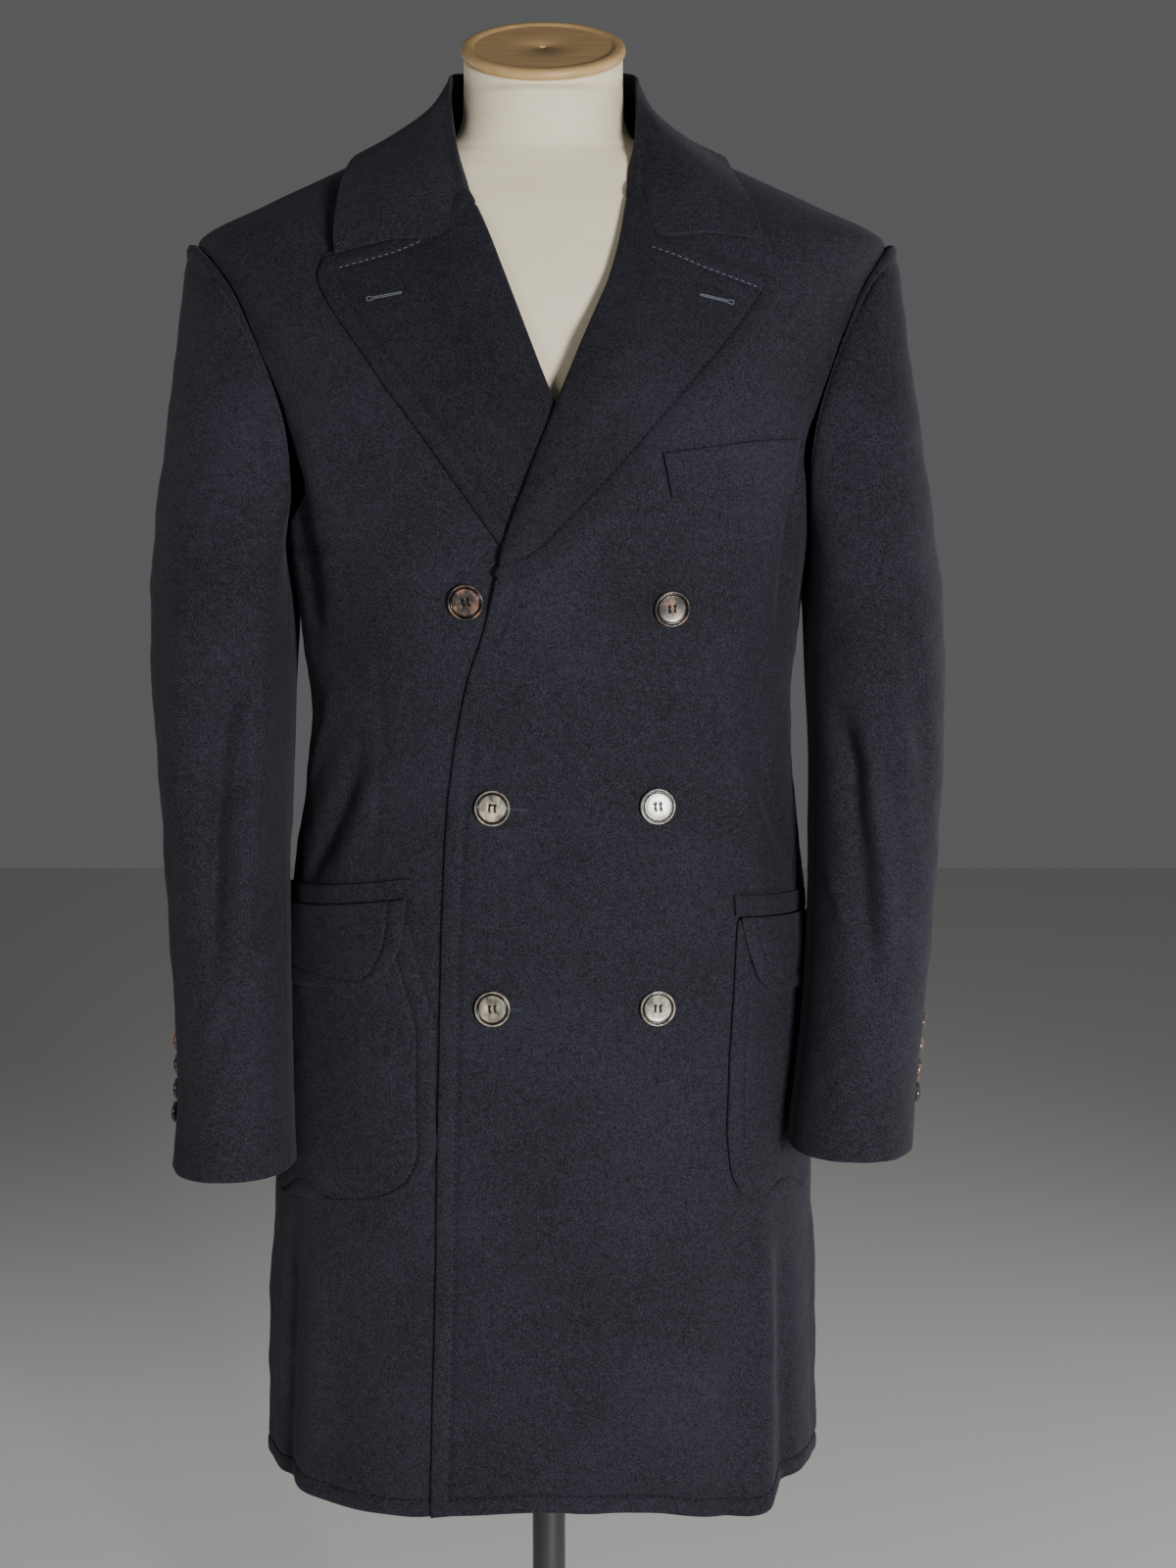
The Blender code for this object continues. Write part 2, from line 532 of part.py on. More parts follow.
def lapel(name, table, left):
    """A lapel turned back over its front. Rows run up the roll, columns from the roll outward."""
    order = np.arange(len(table)) / (len(table) - 1)
    rows = np.linspace(0, 1, 15)
    keyed = np.column_stack([order, table])
    share = np.array([0, 0.05, KINK, 0.28, 0.44, 0.60, 0.76, 0.90, 1.0])
    roll_x, roll_z, edge_x, edge_z = (smooth(keyed, k, rows)[:, None] for k in (1, 2, 3, 4))
    x = roll_x * (1 - share) + edge_x * share
    z = roll_z * (1 - share) + edge_z * share
    dip = np.where(share < KINK, share / KINK, (1 - share) / (1 - KINK))
    z = z - (DIP_LEFT if left else DIP_RIGHT) * dip * ease((rows - 0.72) / 0.28)[:, None]
    roll = np.exp(-share / 0.10)
    puff = 0.0030 * np.sin(np.pi * np.clip(share / 0.5, 0, 1)) * ease(rows / 0.2)[:, None]
    lift = front_lift(x, z, left) + CLOTH + 1.5 * LAID + puff - 0.0004 * roll
    inner, _ = on_front(x, z, lift)
    if not left:
        inner = inner[:, ::-1]
    normal = grid_normal(inner)
    return shell(name, inner, inner + normal * CLOTH, WOOL)


lapel("right_lapel", LAPEL_RIGHT, False)
lapel("left_lapel", LAPEL_LEFT, True)


def collar():
    """Stand and fall in one folded piece. Rows run from the stand's foot over the fold to the edge."""
    stations = np.arange(len(COLLAR), dtype=float)
    keyed = np.column_stack([stations, COLLAR])
    at = np.linspace(0, len(COLLAR) - 1, 24)
    foot, fold, upper, lower, edge = (
        np.stack([smooth(keyed, k + 1 + i, at) for i in range(3)], axis=-1) for k in (0, 3, 6, 9, 12))
    rows = []
    out = unit(edge - fold)
    for share in (0.0, 0.5, 0.86):
        rows.append(foot * (1 - share) + fold * share)
    rows.append(fold + out * 0.0016 + (0, 0, 0.0012))
    knots = np.array(FALL_KNOTS)
    fall = np.stack([fold + out * 0.0034, upper, lower, edge])
    shares = np.array([0.10, 0.24, 0.42, 0.60, 0.78, 0.92, 1.0])
    spread = [[smooth(np.column_stack([knots, fall[:, j, i]]), 1, shares) for i in range(3)]
              for j in range(len(at))]
    rows.extend(np.moveaxis(np.array(spread), 2, 0))
    inside = np.stack(rows)
    normal = -grid_normal(inside)
    shell("collar", inside[::-1], (inside + normal * CLOTH)[::-1], WOOL)


collar()


def laid(name, table, side, columns, lift_more):
    """A piece lying on a front, its front edge given as x and its side edge as an angle."""
    heights = table[:, 0]
    front = angle_at(table[:, 1], heights)
    outer = side * table[:, 2]
    first, last = (outer, front) if side < 0 else (front, outer)

    def lift(angle, height):
        x = body(angle, height)[..., 0]
        return CLOTH + 1.4 * LAID + lift_more + (overlap_lift(x, height) if side > 0 else 0 * x)

    panel(name, heights, first, last, columns, lift, hem=False, slope=SLOPE_RIGHT if side < 0 else SLOPE_LEFT)


laid("right_pocket", PATCH_RIGHT, -1, 8, 0.0)
laid("left_pocket", PATCH_LEFT, 1, 7, 0.0)
laid("right_pocket_flap", FLAP_RIGHT, -1, 8, CLOTH + LAID)
laid("left_pocket_flap", FLAP_LEFT, 1, 7, CLOTH + LAID)
laid("right_pocket_strap", BAND_RIGHT, -1, 8, 0.0)
laid("left_pocket_strap", BAND_LEFT, 1, 7, 0.0)


def welt():
    share = np.linspace(0, 1, 10)
    x = WELT[0, 0] + (WELT[-1, 0] - WELT[0, 0]) * share
    rows = np.linspace(0, 1, 3)[:, None]
    z = smooth(WELT, 1, x) * (1 - rows) + smooth(WELT, 2, x) * rows
    x = x[None, :] - 0.006 * rows * (1 - share)
    inner, normal = on_front(x, z, overlap_lift(x, z) + CLOTH + 1.8 * LAID)
    shell("breast_welt", inner, inner + normal * CLOTH, WOOL)


welt()

for name, x, height, front, air in FRONT_BUTTONS:
    lift = float(front_lift(np.array(x), np.array(height), front == "left")) + CLOTH + air
    place, normal = on_front(np.array([x]), np.array([height]), np.array([lift]))
    lathe(name, button_profile(BUTTON_ACROSS, BUTTON_THICK), place[0], facing(normal[0]), 20, HORN)


# The dress form's body: the coat's section, drawn in more where the coat hangs clear.
FORM = np.array([
    # height, drawn in at the sides, front, back
    (0.780, 0.052, 0.045, 0.036),
    (0.860, 0.030, 0.026, 0.018),
    (0.950, 0.024, 0.020, 0.014),
    (1.060, 0.022, 0.018, 0.012),
    (1.160, 0.018, 0.014, 0.012),
    (1.250, 0.024, 0.011, 0.010),
    (1.340, 0.040, 0.010, 0.008),
    (1.390, 0.047, 0.008, 0.006),
    (1.416, 0.045, 0.006, 0.004),
    (1.428, 0.0200, 0.005, 0.0025),
    (1.440, 0.0032, 0.004, 0.0020),
    (1.466, 0.0022, 0.003, 0.0015)])


def dress_form():
    """Torso and neck of the form, one closed body with a flat underside."""
    around = np.arange(32) * 360.0 / 32
    rings = []
    for height in (0.790, 0.850, 0.920, 1.000, 1.080, 1.150, 1.210, 1.265, 1.320, 1.365, 1.395, 1.414,
                   1.428, 1.440, 1.452, 1.466):
        point = body(around, np.full(32, height))
        side, front, back = (smooth(FORM, k, height) for k in (1, 2, 3))
        wide = np.where(point[:, 0] < 0, smooth(BODY, 1, height), smooth(BODY, 2, height))
        deep = np.where(point[:, 1] < 0, smooth(BODY, 3, height), smooth(BODY, 4, height))
        draw = np.where(point[:, 1] < 0, front, back)
        point[:, 0] *= 1 - side / wide
        point[:, 1] *= 1 - draw / deep
        rings.append(point)
    angle = np.radians(around)
    flat = np.stack([np.sin(angle), -np.cos(angle), 0 * angle], axis=-1)
    for height, wide, deep in ((1.4780, 0.0850, 0.0500), (1.4880, 0.0660, 0.0505), (1.4990, 0.0590, 0.0520),
                               (1.5180, 0.0568, 0.0525)):
        rings.append(flat * (wide, deep, 0) + (-0.0018, 0.002, height))
    top = flat * (NECK_RADIUS, 0.95 * NECK_RADIUS, 0)
    rings.append(top * (1, math.cos(CAP_TILT), 1) + (-0.0018, 0.002, 1.5480)
                 + np.stack([0 * angle, 0 * angle, top[:, 1] * math.sin(CAP_TILT)], axis=-1))
    rings = np.stack(rings)
    count = len(rings)
    points = np.concatenate([rings.reshape(-1, 3), rings[0].mean(axis=0)[None], rings[-1].mean(axis=0)[None]])
    faces = []
    for i in range(count - 1):
        for j in range(32):
            k = (j + 1) % 32
            faces.append((i * 32 + j, i * 32 + k, (i + 1) * 32 + k, (i + 1) * 32 + j))
    for j in range(32):
        k = (j + 1) % 32
        faces.append((count * 32, k, j))
        faces.append((count * 32 + 1, (count - 1) * 32 + j, (count - 1) * 32 + k))
    add("form_torso", points, faces, LINEN)


dress_form()

cap_turn = facing((0, -math.sin(CAP_TILT), math.cos(CAP_TILT)))
cap_up = np.array([0, -math.sin(CAP_TILT), math.cos(CAP_TILT)])
lathe("neck_cap", ((0, 0), (0.0560, 0), (0.0585, 0.0015), (0.0585, 0.0050), (0.0565, 0.0072), (0.0505, 0.0075),
                   (0.0495, 0.0062), (0, 0.0062)),
      np.array([-0.0018, 0.002, 1.5480]) + cap_up * 0.0004, cap_turn, 32, WOOD)
level = facing((0, 0, 1))
lathe("pole", ((0, 0), (POLE_RADIUS, 0), (POLE_RADIUS, 0.7897 - BASE_THICK - 0.0103), (0, 0.7897 - BASE_THICK - 0.0103)),
      (0, 0, BASE_THICK + 0.0103), level, 20, STEEL)
lathe("base", ((0, 0), (BASE_RADIUS, 0), (BASE_RADIUS, 0.010), (BASE_RADIUS - 0.006, 0.016), (0.060, BASE_THICK),
               (0.024, BASE_THICK + 0.010), (0, BASE_THICK + 0.010)),
      (0, 0, 0), level, 48, STEEL)
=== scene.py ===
# %% [markdown]
# # A double-breasted wool overcoat on a limbless dress form
#
# This lesson dresses a set of plain coat panels in real cloth. The panels come in already sized and
# placed, so each step replaces one with a finer wall of cloth that has its creases, seams, stitching
# and nap, and the buttons, the form and the stand follow in the same way.

# %% Load the plain model
import math

import bpy
import numpy as np
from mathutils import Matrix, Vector


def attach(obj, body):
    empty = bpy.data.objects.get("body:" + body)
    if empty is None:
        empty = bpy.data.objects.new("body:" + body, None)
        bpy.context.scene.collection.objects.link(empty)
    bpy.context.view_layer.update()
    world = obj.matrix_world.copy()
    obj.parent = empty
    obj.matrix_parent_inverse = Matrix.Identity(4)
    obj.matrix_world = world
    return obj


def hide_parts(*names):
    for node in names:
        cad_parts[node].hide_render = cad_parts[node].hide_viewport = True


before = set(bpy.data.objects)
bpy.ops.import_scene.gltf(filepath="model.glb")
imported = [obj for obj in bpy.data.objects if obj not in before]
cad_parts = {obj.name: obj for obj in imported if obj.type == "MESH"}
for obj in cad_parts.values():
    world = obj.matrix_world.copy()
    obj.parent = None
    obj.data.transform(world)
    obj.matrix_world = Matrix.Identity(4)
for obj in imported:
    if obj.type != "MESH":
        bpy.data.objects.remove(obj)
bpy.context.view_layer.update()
print("plain model:", len(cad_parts), "nodes")

# %% [markdown]
# ## The body of the coat
#
# A tailor thinks of a coat as a series of girths. So does this lesson: a table gives the half widths
# and depths at each height, and every point of the cloth is found from an angle round the body and a
# height. It could be sculpted by hand instead, but then pockets, lapels and stitches would each have
# to be fitted. With one formula they all lie on the cloth by themselves.

# %% Sizes and girths
CLOTH = 0.0022        # wall of one layer of coating
LAID = 0.0007         # air between a layer and the layer that it lies on
HEM = 0.525
ARMPIT = 1.195
SHOULDER = 1.4135
NECK = 1.500
STITCH_IN = 0.0135    # from an edge to its row of topstitching

BODY = np.array([
    # height, right, left, front, back, square
    (0.500, 0.2065, 0.1975, 0.139, 0.142, 2.5), (0.600, 0.2050, 0.1965, 0.138, 0.140, 2.5),
    (0.720, 0.2005, 0.1940, 0.136, 0.139, 2.5), (0.860, 0.1940, 0.1905, 0.132, 0.137, 2.5),
    (0.950, 0.1855, 0.1865, 0.128, 0.130, 2.5), (1.030, 0.1735, 0.1780, 0.118, 0.116, 2.5),
    (1.085, 0.1690, 0.1755, 0.115, 0.110, 2.5), (1.140, 0.1755, 0.1800, 0.118, 0.113, 2.5),
    (1.200, 0.1830, 0.1860, 0.124, 0.119, 2.5), (1.300, 0.2060, 0.2020, 0.123, 0.121, 2.5),
    (1.380, 0.2340, 0.2280, 0.103, 0.108, 2.45), (1.4135, 0.2460, 0.2400, 0.087, 0.096, 2.4),
    (1.440, 0.2000, 0.1915, 0.073, 0.085, 2.3), (1.460, 0.1565, 0.1470, 0.061, 0.077, 2.3),
    (1.480, 0.1140, 0.1045, 0.052, 0.070, 2.25), (1.502, 0.0770, 0.0730, 0.045, 0.064, 2.2)])
ARMHOLE = np.array([
    # height, front right, front left, back
    (1.195, 96.0, 96.0, 96.0), (1.203, 78.0, 82.0, 110.0), (1.222, 65.0, 71.0, 117.0),
    (1.252, 57.5, 65.0, 121.0), (1.288, 55.5, 63.5, 123.0), (1.322, 56.5, 64.5, 123.0),
    (1.352, 58.5, 66.0, 121.0), (1.378, 61.0, 68.0, 118.0), (1.396, 65.0, 71.0, 113.0),
    (1.4075, 72.0, 77.0, 106.0), (1.4135, 91.0, 91.0, 91.0)])
LEFT_EDGE = np.array([
    # height, x
    (0.500, -0.0810), (0.600, -0.0785), (0.700, -0.0755), (0.830, -0.0725), (0.970, -0.0685),
    (1.035, -0.0645), (1.089, -0.0565), (1.116, -0.0505), (1.143, -0.0415), (1.169, -0.0348),
    (1.202, -0.0259), (1.238, -0.0125), (1.270, 0.0006), (1.300, 0.0137), (1.338, 0.0290),
    (1.360, 0.0385), (1.382, 0.0477), (1.416, 0.0564), (1.455, 0.0622), (1.478, 0.0665),
    (1.505, 0.0740)])
RIGHT_EDGE = np.array([
    # height, x
    (0.500, 0.1150), (0.700, 0.1130), (0.900, 0.1110), (1.000, 0.1080), (1.060, 0.1020),
    (1.089, 0.0960), (1.116, 0.0880), (1.143, 0.0770), (1.170, 0.0650), (1.200, 0.0510),
    (1.240, 0.0310), (1.293, 0.0072), (1.324, -0.0059), (1.360, -0.0198), (1.390, -0.0315),
    (1.419, -0.0429), (1.450, -0.0557), (1.475, -0.0655), (1.505, -0.0770)])
HEMLINE = np.array([
    # angle, drop
    (-180, 0.002), (-120, 0.001), (-75, 0.000), (-55, 0.001), (-40, -0.004), (-25, -0.003),
    (-12, 0.002), (0, 0.005), (20, 0.003), (32, -0.005), (43, -0.012), (55, 0.001),
    (75, 0.002), (120, 0.001), (180, 0.002)])


def smooth(table, column, at):
    """A column's value at each height: a cubic between rows that never overshoots them."""
    x, y = table[:, 0], table[:, column]
    step = np.diff(x)
    rise = np.diff(y) / step
    slope = np.concatenate([rise[:1], (rise[1:] + rise[:-1]) / 2, rise[-1:]])
    slope[1:-1][rise[1:] * rise[:-1] <= 0] = 0.0
    at = np.clip(np.asarray(at, float), x[0], x[-1])
    k = np.clip(np.searchsorted(x, at, side="right") - 1, 0, len(step) - 1)
    t = (at - x[k]) / step[k]
    return (y[k] * (1 + 2 * t) * (1 - t) ** 2 + y[k + 1] * t ** 2 * (3 - 2 * t)
            + step[k] * (slope[k] * t * (1 - t) ** 2 - slope[k + 1] * t ** 2 * (1 - t)))


def ease(t):
    """0 below 0, 1 above 1, and 3t^2 - 2t^3 between."""
    t = np.clip(t, 0, 1)
    return t * t * (3 - 2 * t)


def unit(v):
    """Each vector divided by its length."""
    return v / np.maximum(np.linalg.norm(v, axis=-1, keepdims=True), 1e-12)


def body(angle, height):
    """A superellipse at each height, |x/wide|^n + |y/deep|^n = 1. Angle 0 is the front centre."""
    angle, height = np.radians(angle), np.asarray(height, float)
    s, c = np.sin(angle), np.cos(angle)
    square = smooth(BODY, 5, height)
    size = (np.abs(s) ** square + np.abs(c) ** square) ** (1 / square)
    wide = np.where(s < 0, smooth(BODY, 1, height), smooth(BODY, 2, height))
    deep = np.where(c > 0, smooth(BODY, 3, height), smooth(BODY, 4, height))
    return np.stack([wide * s / size, -deep * c / size, height + 0 * s], axis=-1)


def body_normal(angle, height):
    """The cross product of a short step round the body and a short step up it."""
    across = body(angle + 0.5, height) - body(angle - 0.5, height)
    up = body(angle, height + 0.004) - body(angle, height - 0.004)
    return unit(np.cross(across, up))


def angle_at(x, height):
    """The superellipse turned round: the angle on the front at which it is x from the middle."""
    x = np.asarray(x, float)
    wide = np.where(x < 0, smooth(BODY, 1, height), smooth(BODY, 2, height))
    square = smooth(BODY, 5, height)
    share = np.clip(np.abs(x) / wide, 0, 0.9999)
    return np.degrees(np.arctan2(np.sign(x) * share, (1 - share ** square) ** (1 / square)))


print("girths at", len(BODY), "heights")

# %% [markdown]
# ## Creases
#
# Coating hangs in a few soft folds: drags from the waist button, a deep one in front of each
# armhole, and long ones in the skirt. Cloth simulation could find some, but not the ones this coat
# has. Each is laid instead as a soft trough or ridge along a bent line, in a table, and no
# two have the same length, depth or spacing. The back has its own, of the same kind.

# %% The folds of the body and of the sleeves
FULLNESS = 1.5        # how much deeper than the tables the folds hang
BODY_FOLDS = (
    # start angle, height, end angle, height, rise, half width, bow
    (-43, 1.078, -62, 0.955, -0.0042, 0.011, 0.006),
    (-38, 1.060, -50, 0.955, 0.0020, 0.010, 0.004),
    (-52, 1.110, -74, 1.020, 0.0022, 0.010, 0.004),
    (-60, 1.330, -59, 1.120, -0.0055, 0.013, 0.004),
    (-47, 1.310, -49, 1.140, 0.0032, 0.014, -0.003),
    (62, 1.320, 60, 1.120, -0.0050, 0.013, -0.004),
    (51, 1.300, 50, 1.150, 0.0028, 0.013, 0.003),
    (47, 1.085, 66, 0.975, -0.0030, 0.011, -0.005),
    (42, 1.075, 54, 0.985, 0.0014, 0.010, -0.004),
    (-14, 1.052, 14, 1.060, 0.0010, 0.008, 0.003),
    (-10, 0.985, 17, 1.000, -0.0012, 0.010, 0.004),
    (-8, 0.930, 10, 0.905, 0.0010, 0.010, -0.003),
    (46, 0.760, 47, 0.520, 0.0045, 0.010, 0.003),
    (39, 0.740, 38, 0.520, -0.0040, 0.012, 0.002),
    (54, 0.735, 56, 0.520, -0.0034, 0.010, -0.002),
    (-48, 0.730, -51, 0.520, 0.0032, 0.014, 0.004),
    (-59, 0.745, -60, 0.520, -0.0030, 0.011, 0.002),
    (-20, 0.800, -18, 0.520, -0.0016, 0.016, 0.003),
    (12, 0.780, 9, 0.520, 0.0014, 0.016, 0.003),
    (-78, 0.720, -80, 0.520, 0.0020, 0.013, 0.003),
    (78, 0.740, 80, 0.520, 0.0022, 0.012, -0.003),
    (128, 1.300, 146, 1.175, -0.0040, 0.014, 0.006),
    (137, 1.330, 157, 1.230, 0.0024, 0.012, 0.005),
    (-126, 1.310, -143, 1.190, -0.0044, 0.013, -0.006),
    (-139, 1.320, -158, 1.245, 0.0020, 0.012, -0.004),
    (118, 1.095, 150, 1.060, -0.0030, 0.012, 0.004),
    (-122, 1.085, -156, 1.068, -0.0034, 0.013, 0.004),
    (126, 1.020, 158, 1.030, 0.0018, 0.012, 0.003),
    (-118, 1.032, -150, 1.012, 0.0020, 0.012, 0.003),
    (118, 0.930, 121, 0.520, 0.0044, 0.017, 0.004),
    (133, 0.860, 136, 0.520, -0.0048, 0.018, 0.003),
    (150, 0.900, 149, 0.520, 0.0040, 0.015, -0.004),
    (166, 0.780, 165, 0.520, -0.0036, 0.014, 0.003),
    (-121, 0.880, -118, 0.520, -0.0046, 0.018, 0.003),
    (-137, 0.920, -139, 0.520, 0.0046, 0.016, -0.004),
    (-152, 0.800, -154, 0.520, -0.0040, 0.016, 0.003),
    (-167, 0.870, -169, 0.520, 0.0034, 0.014, 0.003),
    (-38.5, 1.165, -38.0, 0.972, -0.0011, 0.0026, 0.000),
    (50.5, 1.150, 47.0, 0.970, -0.0011, 0.0026, 0.000),
    (-4.0, 1.1660, -15.4, 1.070, 0.0013, 0.0022, -0.0095))
RIGHT_SLEEVE_FOLDS = (
    # start turn, height, end turn, height, rise, half width, bow
    (66, 1.160, 108, 0.890, -0.0055, 0.013, 0.006),
    (40, 1.130, 76, 0.900, 0.0036, 0.014, 0.005),
    (112, 1.200, 136, 0.960, 0.0026, 0.016, 0.004),
    (28, 0.962, 66, 0.925, -0.0026, 0.007, 0.004),
    (26, 0.938, 58, 0.905, 0.0020, 0.007, 0.003),
    (30, 1.075, 84, 1.020, -0.0022, 0.009, 0.005),
    (76, 0.890, 118, 0.850, -0.0014, 0.010, 0.004),
    (88, 1.330, 104, 1.215, 0.0016, 0.018, 0.004),
    (238, 1.110, 285, 1.060, -0.0034, 0.011, 0.006),
    (232, 1.060, 290, 1.010, 0.0026, 0.010, 0.005),
    (226, 1.010, 270, 0.985, -0.0026, 0.010, 0.004),
    (210, 1.240, 238, 1.120, -0.0022, 0.014, 0.004))
LEFT_SLEEVE_FOLDS = (
    # start turn, height, end turn, height, rise, half width, bow
    (70, 1.120, 122, 0.900, 0.0044, 0.012, -0.006),
    (52, 1.110, 104, 0.880, -0.0050, 0.013, -0.005),
    (104, 1.190, 140, 0.990, -0.0026, 0.013, 0.004),
    (34, 1.090, 82, 1.030, -0.0020, 0.009, 0.004),
    (30, 0.985, 70, 0.945, 0.0018, 0.008, 0.003),
    (80, 0.870, 124, 0.835, 0.0014, 0.010, 0.004),
    (90, 1.320, 108, 1.210, 0.0014, 0.018, 0.003),
    (236, 1.100, 282, 1.062, -0.0032, 0.011, 0.006),
    (230, 1.045, 286, 1.005, 0.0028, 0.010, 0.004),
    (212, 1.250, 236, 1.130, -0.0024, 0.015, 0.004))


def folded(folds, across, height, radius):
    """FULLNESS * the sum over folds of rise * exp(-(distance from its bent line / half width)^2).
    Each fold runs out softly at its ends, but not at the hem."""
    total = np.zeros(np.broadcast(across, height).shape)
    u, v = np.radians(across) * radius, height
    for start, high, end, low, rise, half, bow in folds:
        p, q = np.array([math.radians(start) * radius, high]), np.array([math.radians(end) * radius, low])
        along, length = (q - p) / np.linalg.norm(q - p), np.linalg.norm(q - p)
        t = ((u - p[0]) * along[0] + (v - p[1]) * along[1]) / length
        off = (u - p[0]) * -along[1] + (v - p[1]) * along[0] - bow * np.sin(np.pi * np.clip(t, 0, 1))
        run_out = ease(t / 0.34) * (ease((1 - t) / 0.34) if low > HEM else 1.0)
        total = total + FULLNESS * rise * np.exp(-(off / half) ** 2) * run_out
    return total


def waver(across, height, radius):
    """Slow unevenness of hung wool: a few sines of uneven wavelengths, under half a millimetre each."""
    u, v = np.radians(across) * radius, height
    return (0.00045 * np.sin(61 * u + 23 * v + 0.6) + 0.00035 * np.sin(97 * v - 41 * u + 2.1)
            + 0.00022 * np.sin(173 * u + 131 * v + 4.0) + 0.00016 * np.sin(239 * v - 187 * u))


def crease(angle, height):
    """Folds and waver of the body, fading out on the shoulders."""
    still = 1 - ease((height - 1.34) / 0.07)
    return (folded(BODY_FOLDS, angle, height, 0.185) + waver(angle, height, 0.185)) * still


sleeve_folds = len(RIGHT_SLEEVE_FOLDS) + len(LEFT_SLEEVE_FOLDS)
print(len(BODY_FOLDS), "folds on the body,", sleeve_folds, "on the sleeves")

# %% [markdown]
# ## Shader sums as plain Python
#
# A node graph for felted wool has dozens of sums in it. Wrapping a socket in a small class lets them
# be written as ordinary arithmetic, and one method places every other kind of node.

# %% The socket wrapper and the material maker
class Wire:
    """One socket's output. Arithmetic on it adds Math nodes."""

    def __init__(self, graph, socket):
        self.graph, self.socket = graph, socket

    def sum_of(self, operation, first, second):
        return self.graph.put("ShaderNodeMath", {"operation": operation}, {0: first, 1: second})

    def __add__(self, other):
        return self.sum_of("ADD", self, other)

    def __sub__(self, other):
        return self.sum_of("SUBTRACT", self, other)

    def __rsub__(self, other):
        return self.sum_of("SUBTRACT", other, self)

    def __mul__(self, other):
        return self.sum_of("MULTIPLY", self, other)

    def __lt__(self, other):
        return self.sum_of("LESS_THAN", self, other)

    __radd__, __rmul__ = __add__, __mul__


class Finish:
    """A material under construction."""

    def __init__(self, name, **constants):
        self.material = bpy.data.materials.new(name)
        self.material.use_nodes = True
        self.tree = self.material.node_tree
        self.shader = self.tree.nodes["Principled BSDF"]
        for socket, value in constants.items():
            self.shader.inputs[socket.replace("_", " ")].default_value = value
        self.place = self.put("ShaderNodeTexCoord", {}, {}, "Object")

    def put(self, kind, settings, sockets, out=0):
        """Adds a node, sets it up, feeds its sockets with values or wires, and returns one output."""
        node = self.tree.nodes.new(kind)
        for key, value in settings.items():
            if key == "stops":
                ramp = node.color_ramp.elements
                while len(ramp) < len(value):
                    ramp.new(0.5)
                for stop, (position, colour) in zip(ramp, value):
                    stop.position, stop.color = position, (*colour, 1.0)
            else:
                setattr(node, key, value)
        for key, value in sockets.items():
            if isinstance(value, Wire):
                self.tree.links.new(value.socket, node.inputs[key])
            else:
                node.inputs[key].default_value = value
        return Wire(self, node.outputs[out])

    def noise(self, scale, detail=3.0, rough=0.55, at=None):
        return self.put("ShaderNodeTexNoise", {}, {"Vector": at or self.place, "Scale": scale,
                                                   "Detail": detail, "Roughness": rough})

    def stretched(self, scale):
        return self.put("ShaderNodeMapping", {}, {"Vector": self.place, "Scale": scale})

    def mix(self, share, first, second):
        return self.put("ShaderNodeMix", {"data_type": "RGBA"}, {0: share, 6: first, 7: second}, 2)

    def feed(self, socket, wire):
        self.tree.links.new(wire.socket, self.shader.inputs[socket])

    def bump(self, height, strength, distance):
        self.feed("Normal", self.put("ShaderNodeBump", {}, {"Strength": strength, "Distance": distance,
                                                           "Height": height}))


def wool(name, deep, pale):
    """Felted coating: nap running down the cloth, fibres, soft mottling and a little lint."""
    made = Finish(name, Roughness=0.86, Sheen_Weight=0.05, Sheen_Roughness=0.5,
                  Sheen_Tint=(0.74, 0.74, 0.84, 1.0), Specular_IOR_Level=0.22)
    nap = made.noise(1050.0, 2.0, 0.6, made.stretched((1.0, 1.0, 0.8))) - 0.5
    fibre = made.noise(2600.0, 1.0, 0.5) - 0.5
    mottle = made.noise(210.0, 3.0, 0.6) - 0.5
    cloud = made.noise(9.0, 2.0, 0.5) - 0.5
    share = nap * 3.4 + fibre * 1.2 + mottle * 0.8 + cloud * 0.8 + 0.42
    coat = made.mix(share, (*deep, 1.0), (*pale, 1.0))
    lint = made.put("ShaderNodeTexVoronoi", {}, {"Vector": made.place, "Scale": 95.0, "Randomness": 1.0})
    flecks = (lint < 0.030) * made.noise(31.0, 1.0) * 0.30
    made.feed("Base Color", made.mix(flecks, coat, (0.10, 0.105, 0.13, 1.0)))
    made.bump(nap * 0.8 + fibre * 0.3 + mottle * 0.5, 0.70, 0.0008)
    return made.material


WOOL = wool("navy_wool", (0.0030, 0.0029, 0.0048), (0.0240, 0.0232, 0.0352))
# The lapels get a darker copy of the same navy wool: painted shade, for the upper lapels that the light
# leaves darker.
SHADED_LAPEL_WOOL = wool("navy_wool_painted_shade", (0.0024, 0.0023, 0.0040), (0.0190, 0.0182, 0.0285))
THREAD = Finish("silk_twist", Roughness=0.8, Specular_IOR_Level=0.1,
                Base_Color=(0.0060, 0.0060, 0.0092, 1.0)).material
DARK_THREAD = Finish("button_twist", Roughness=0.8, Specular_IOR_Level=0.2,
                     Base_Color=(0.004, 0.003, 0.003, 1.0)).material
BOUND_THREAD = Finish("buttonhole_twist", Roughness=0.6, Base_Color=(0.024, 0.026, 0.036, 1.0)).material
BRIGHT_THREAD = Finish("pale_topstitch", Roughness=0.55, Base_Color=(0.090, 0.096, 0.120, 1.0)).material
print("cloth finishes:", WOOL.name, SHADED_LAPEL_WOOL.name)

# %% [markdown]
# ## A wall of cloth
#
# A cut edge isn't a knife edge: the cloth turns under, swells beyond its row of topstitching, and
# rounds off. A Solidify and a Bevel modifier would give an even wall, but not the swell. So the wall
# is worked out: the distance from the edges gives the rounding, the swell and the stitch groove, and
# the grid has close lines just there.

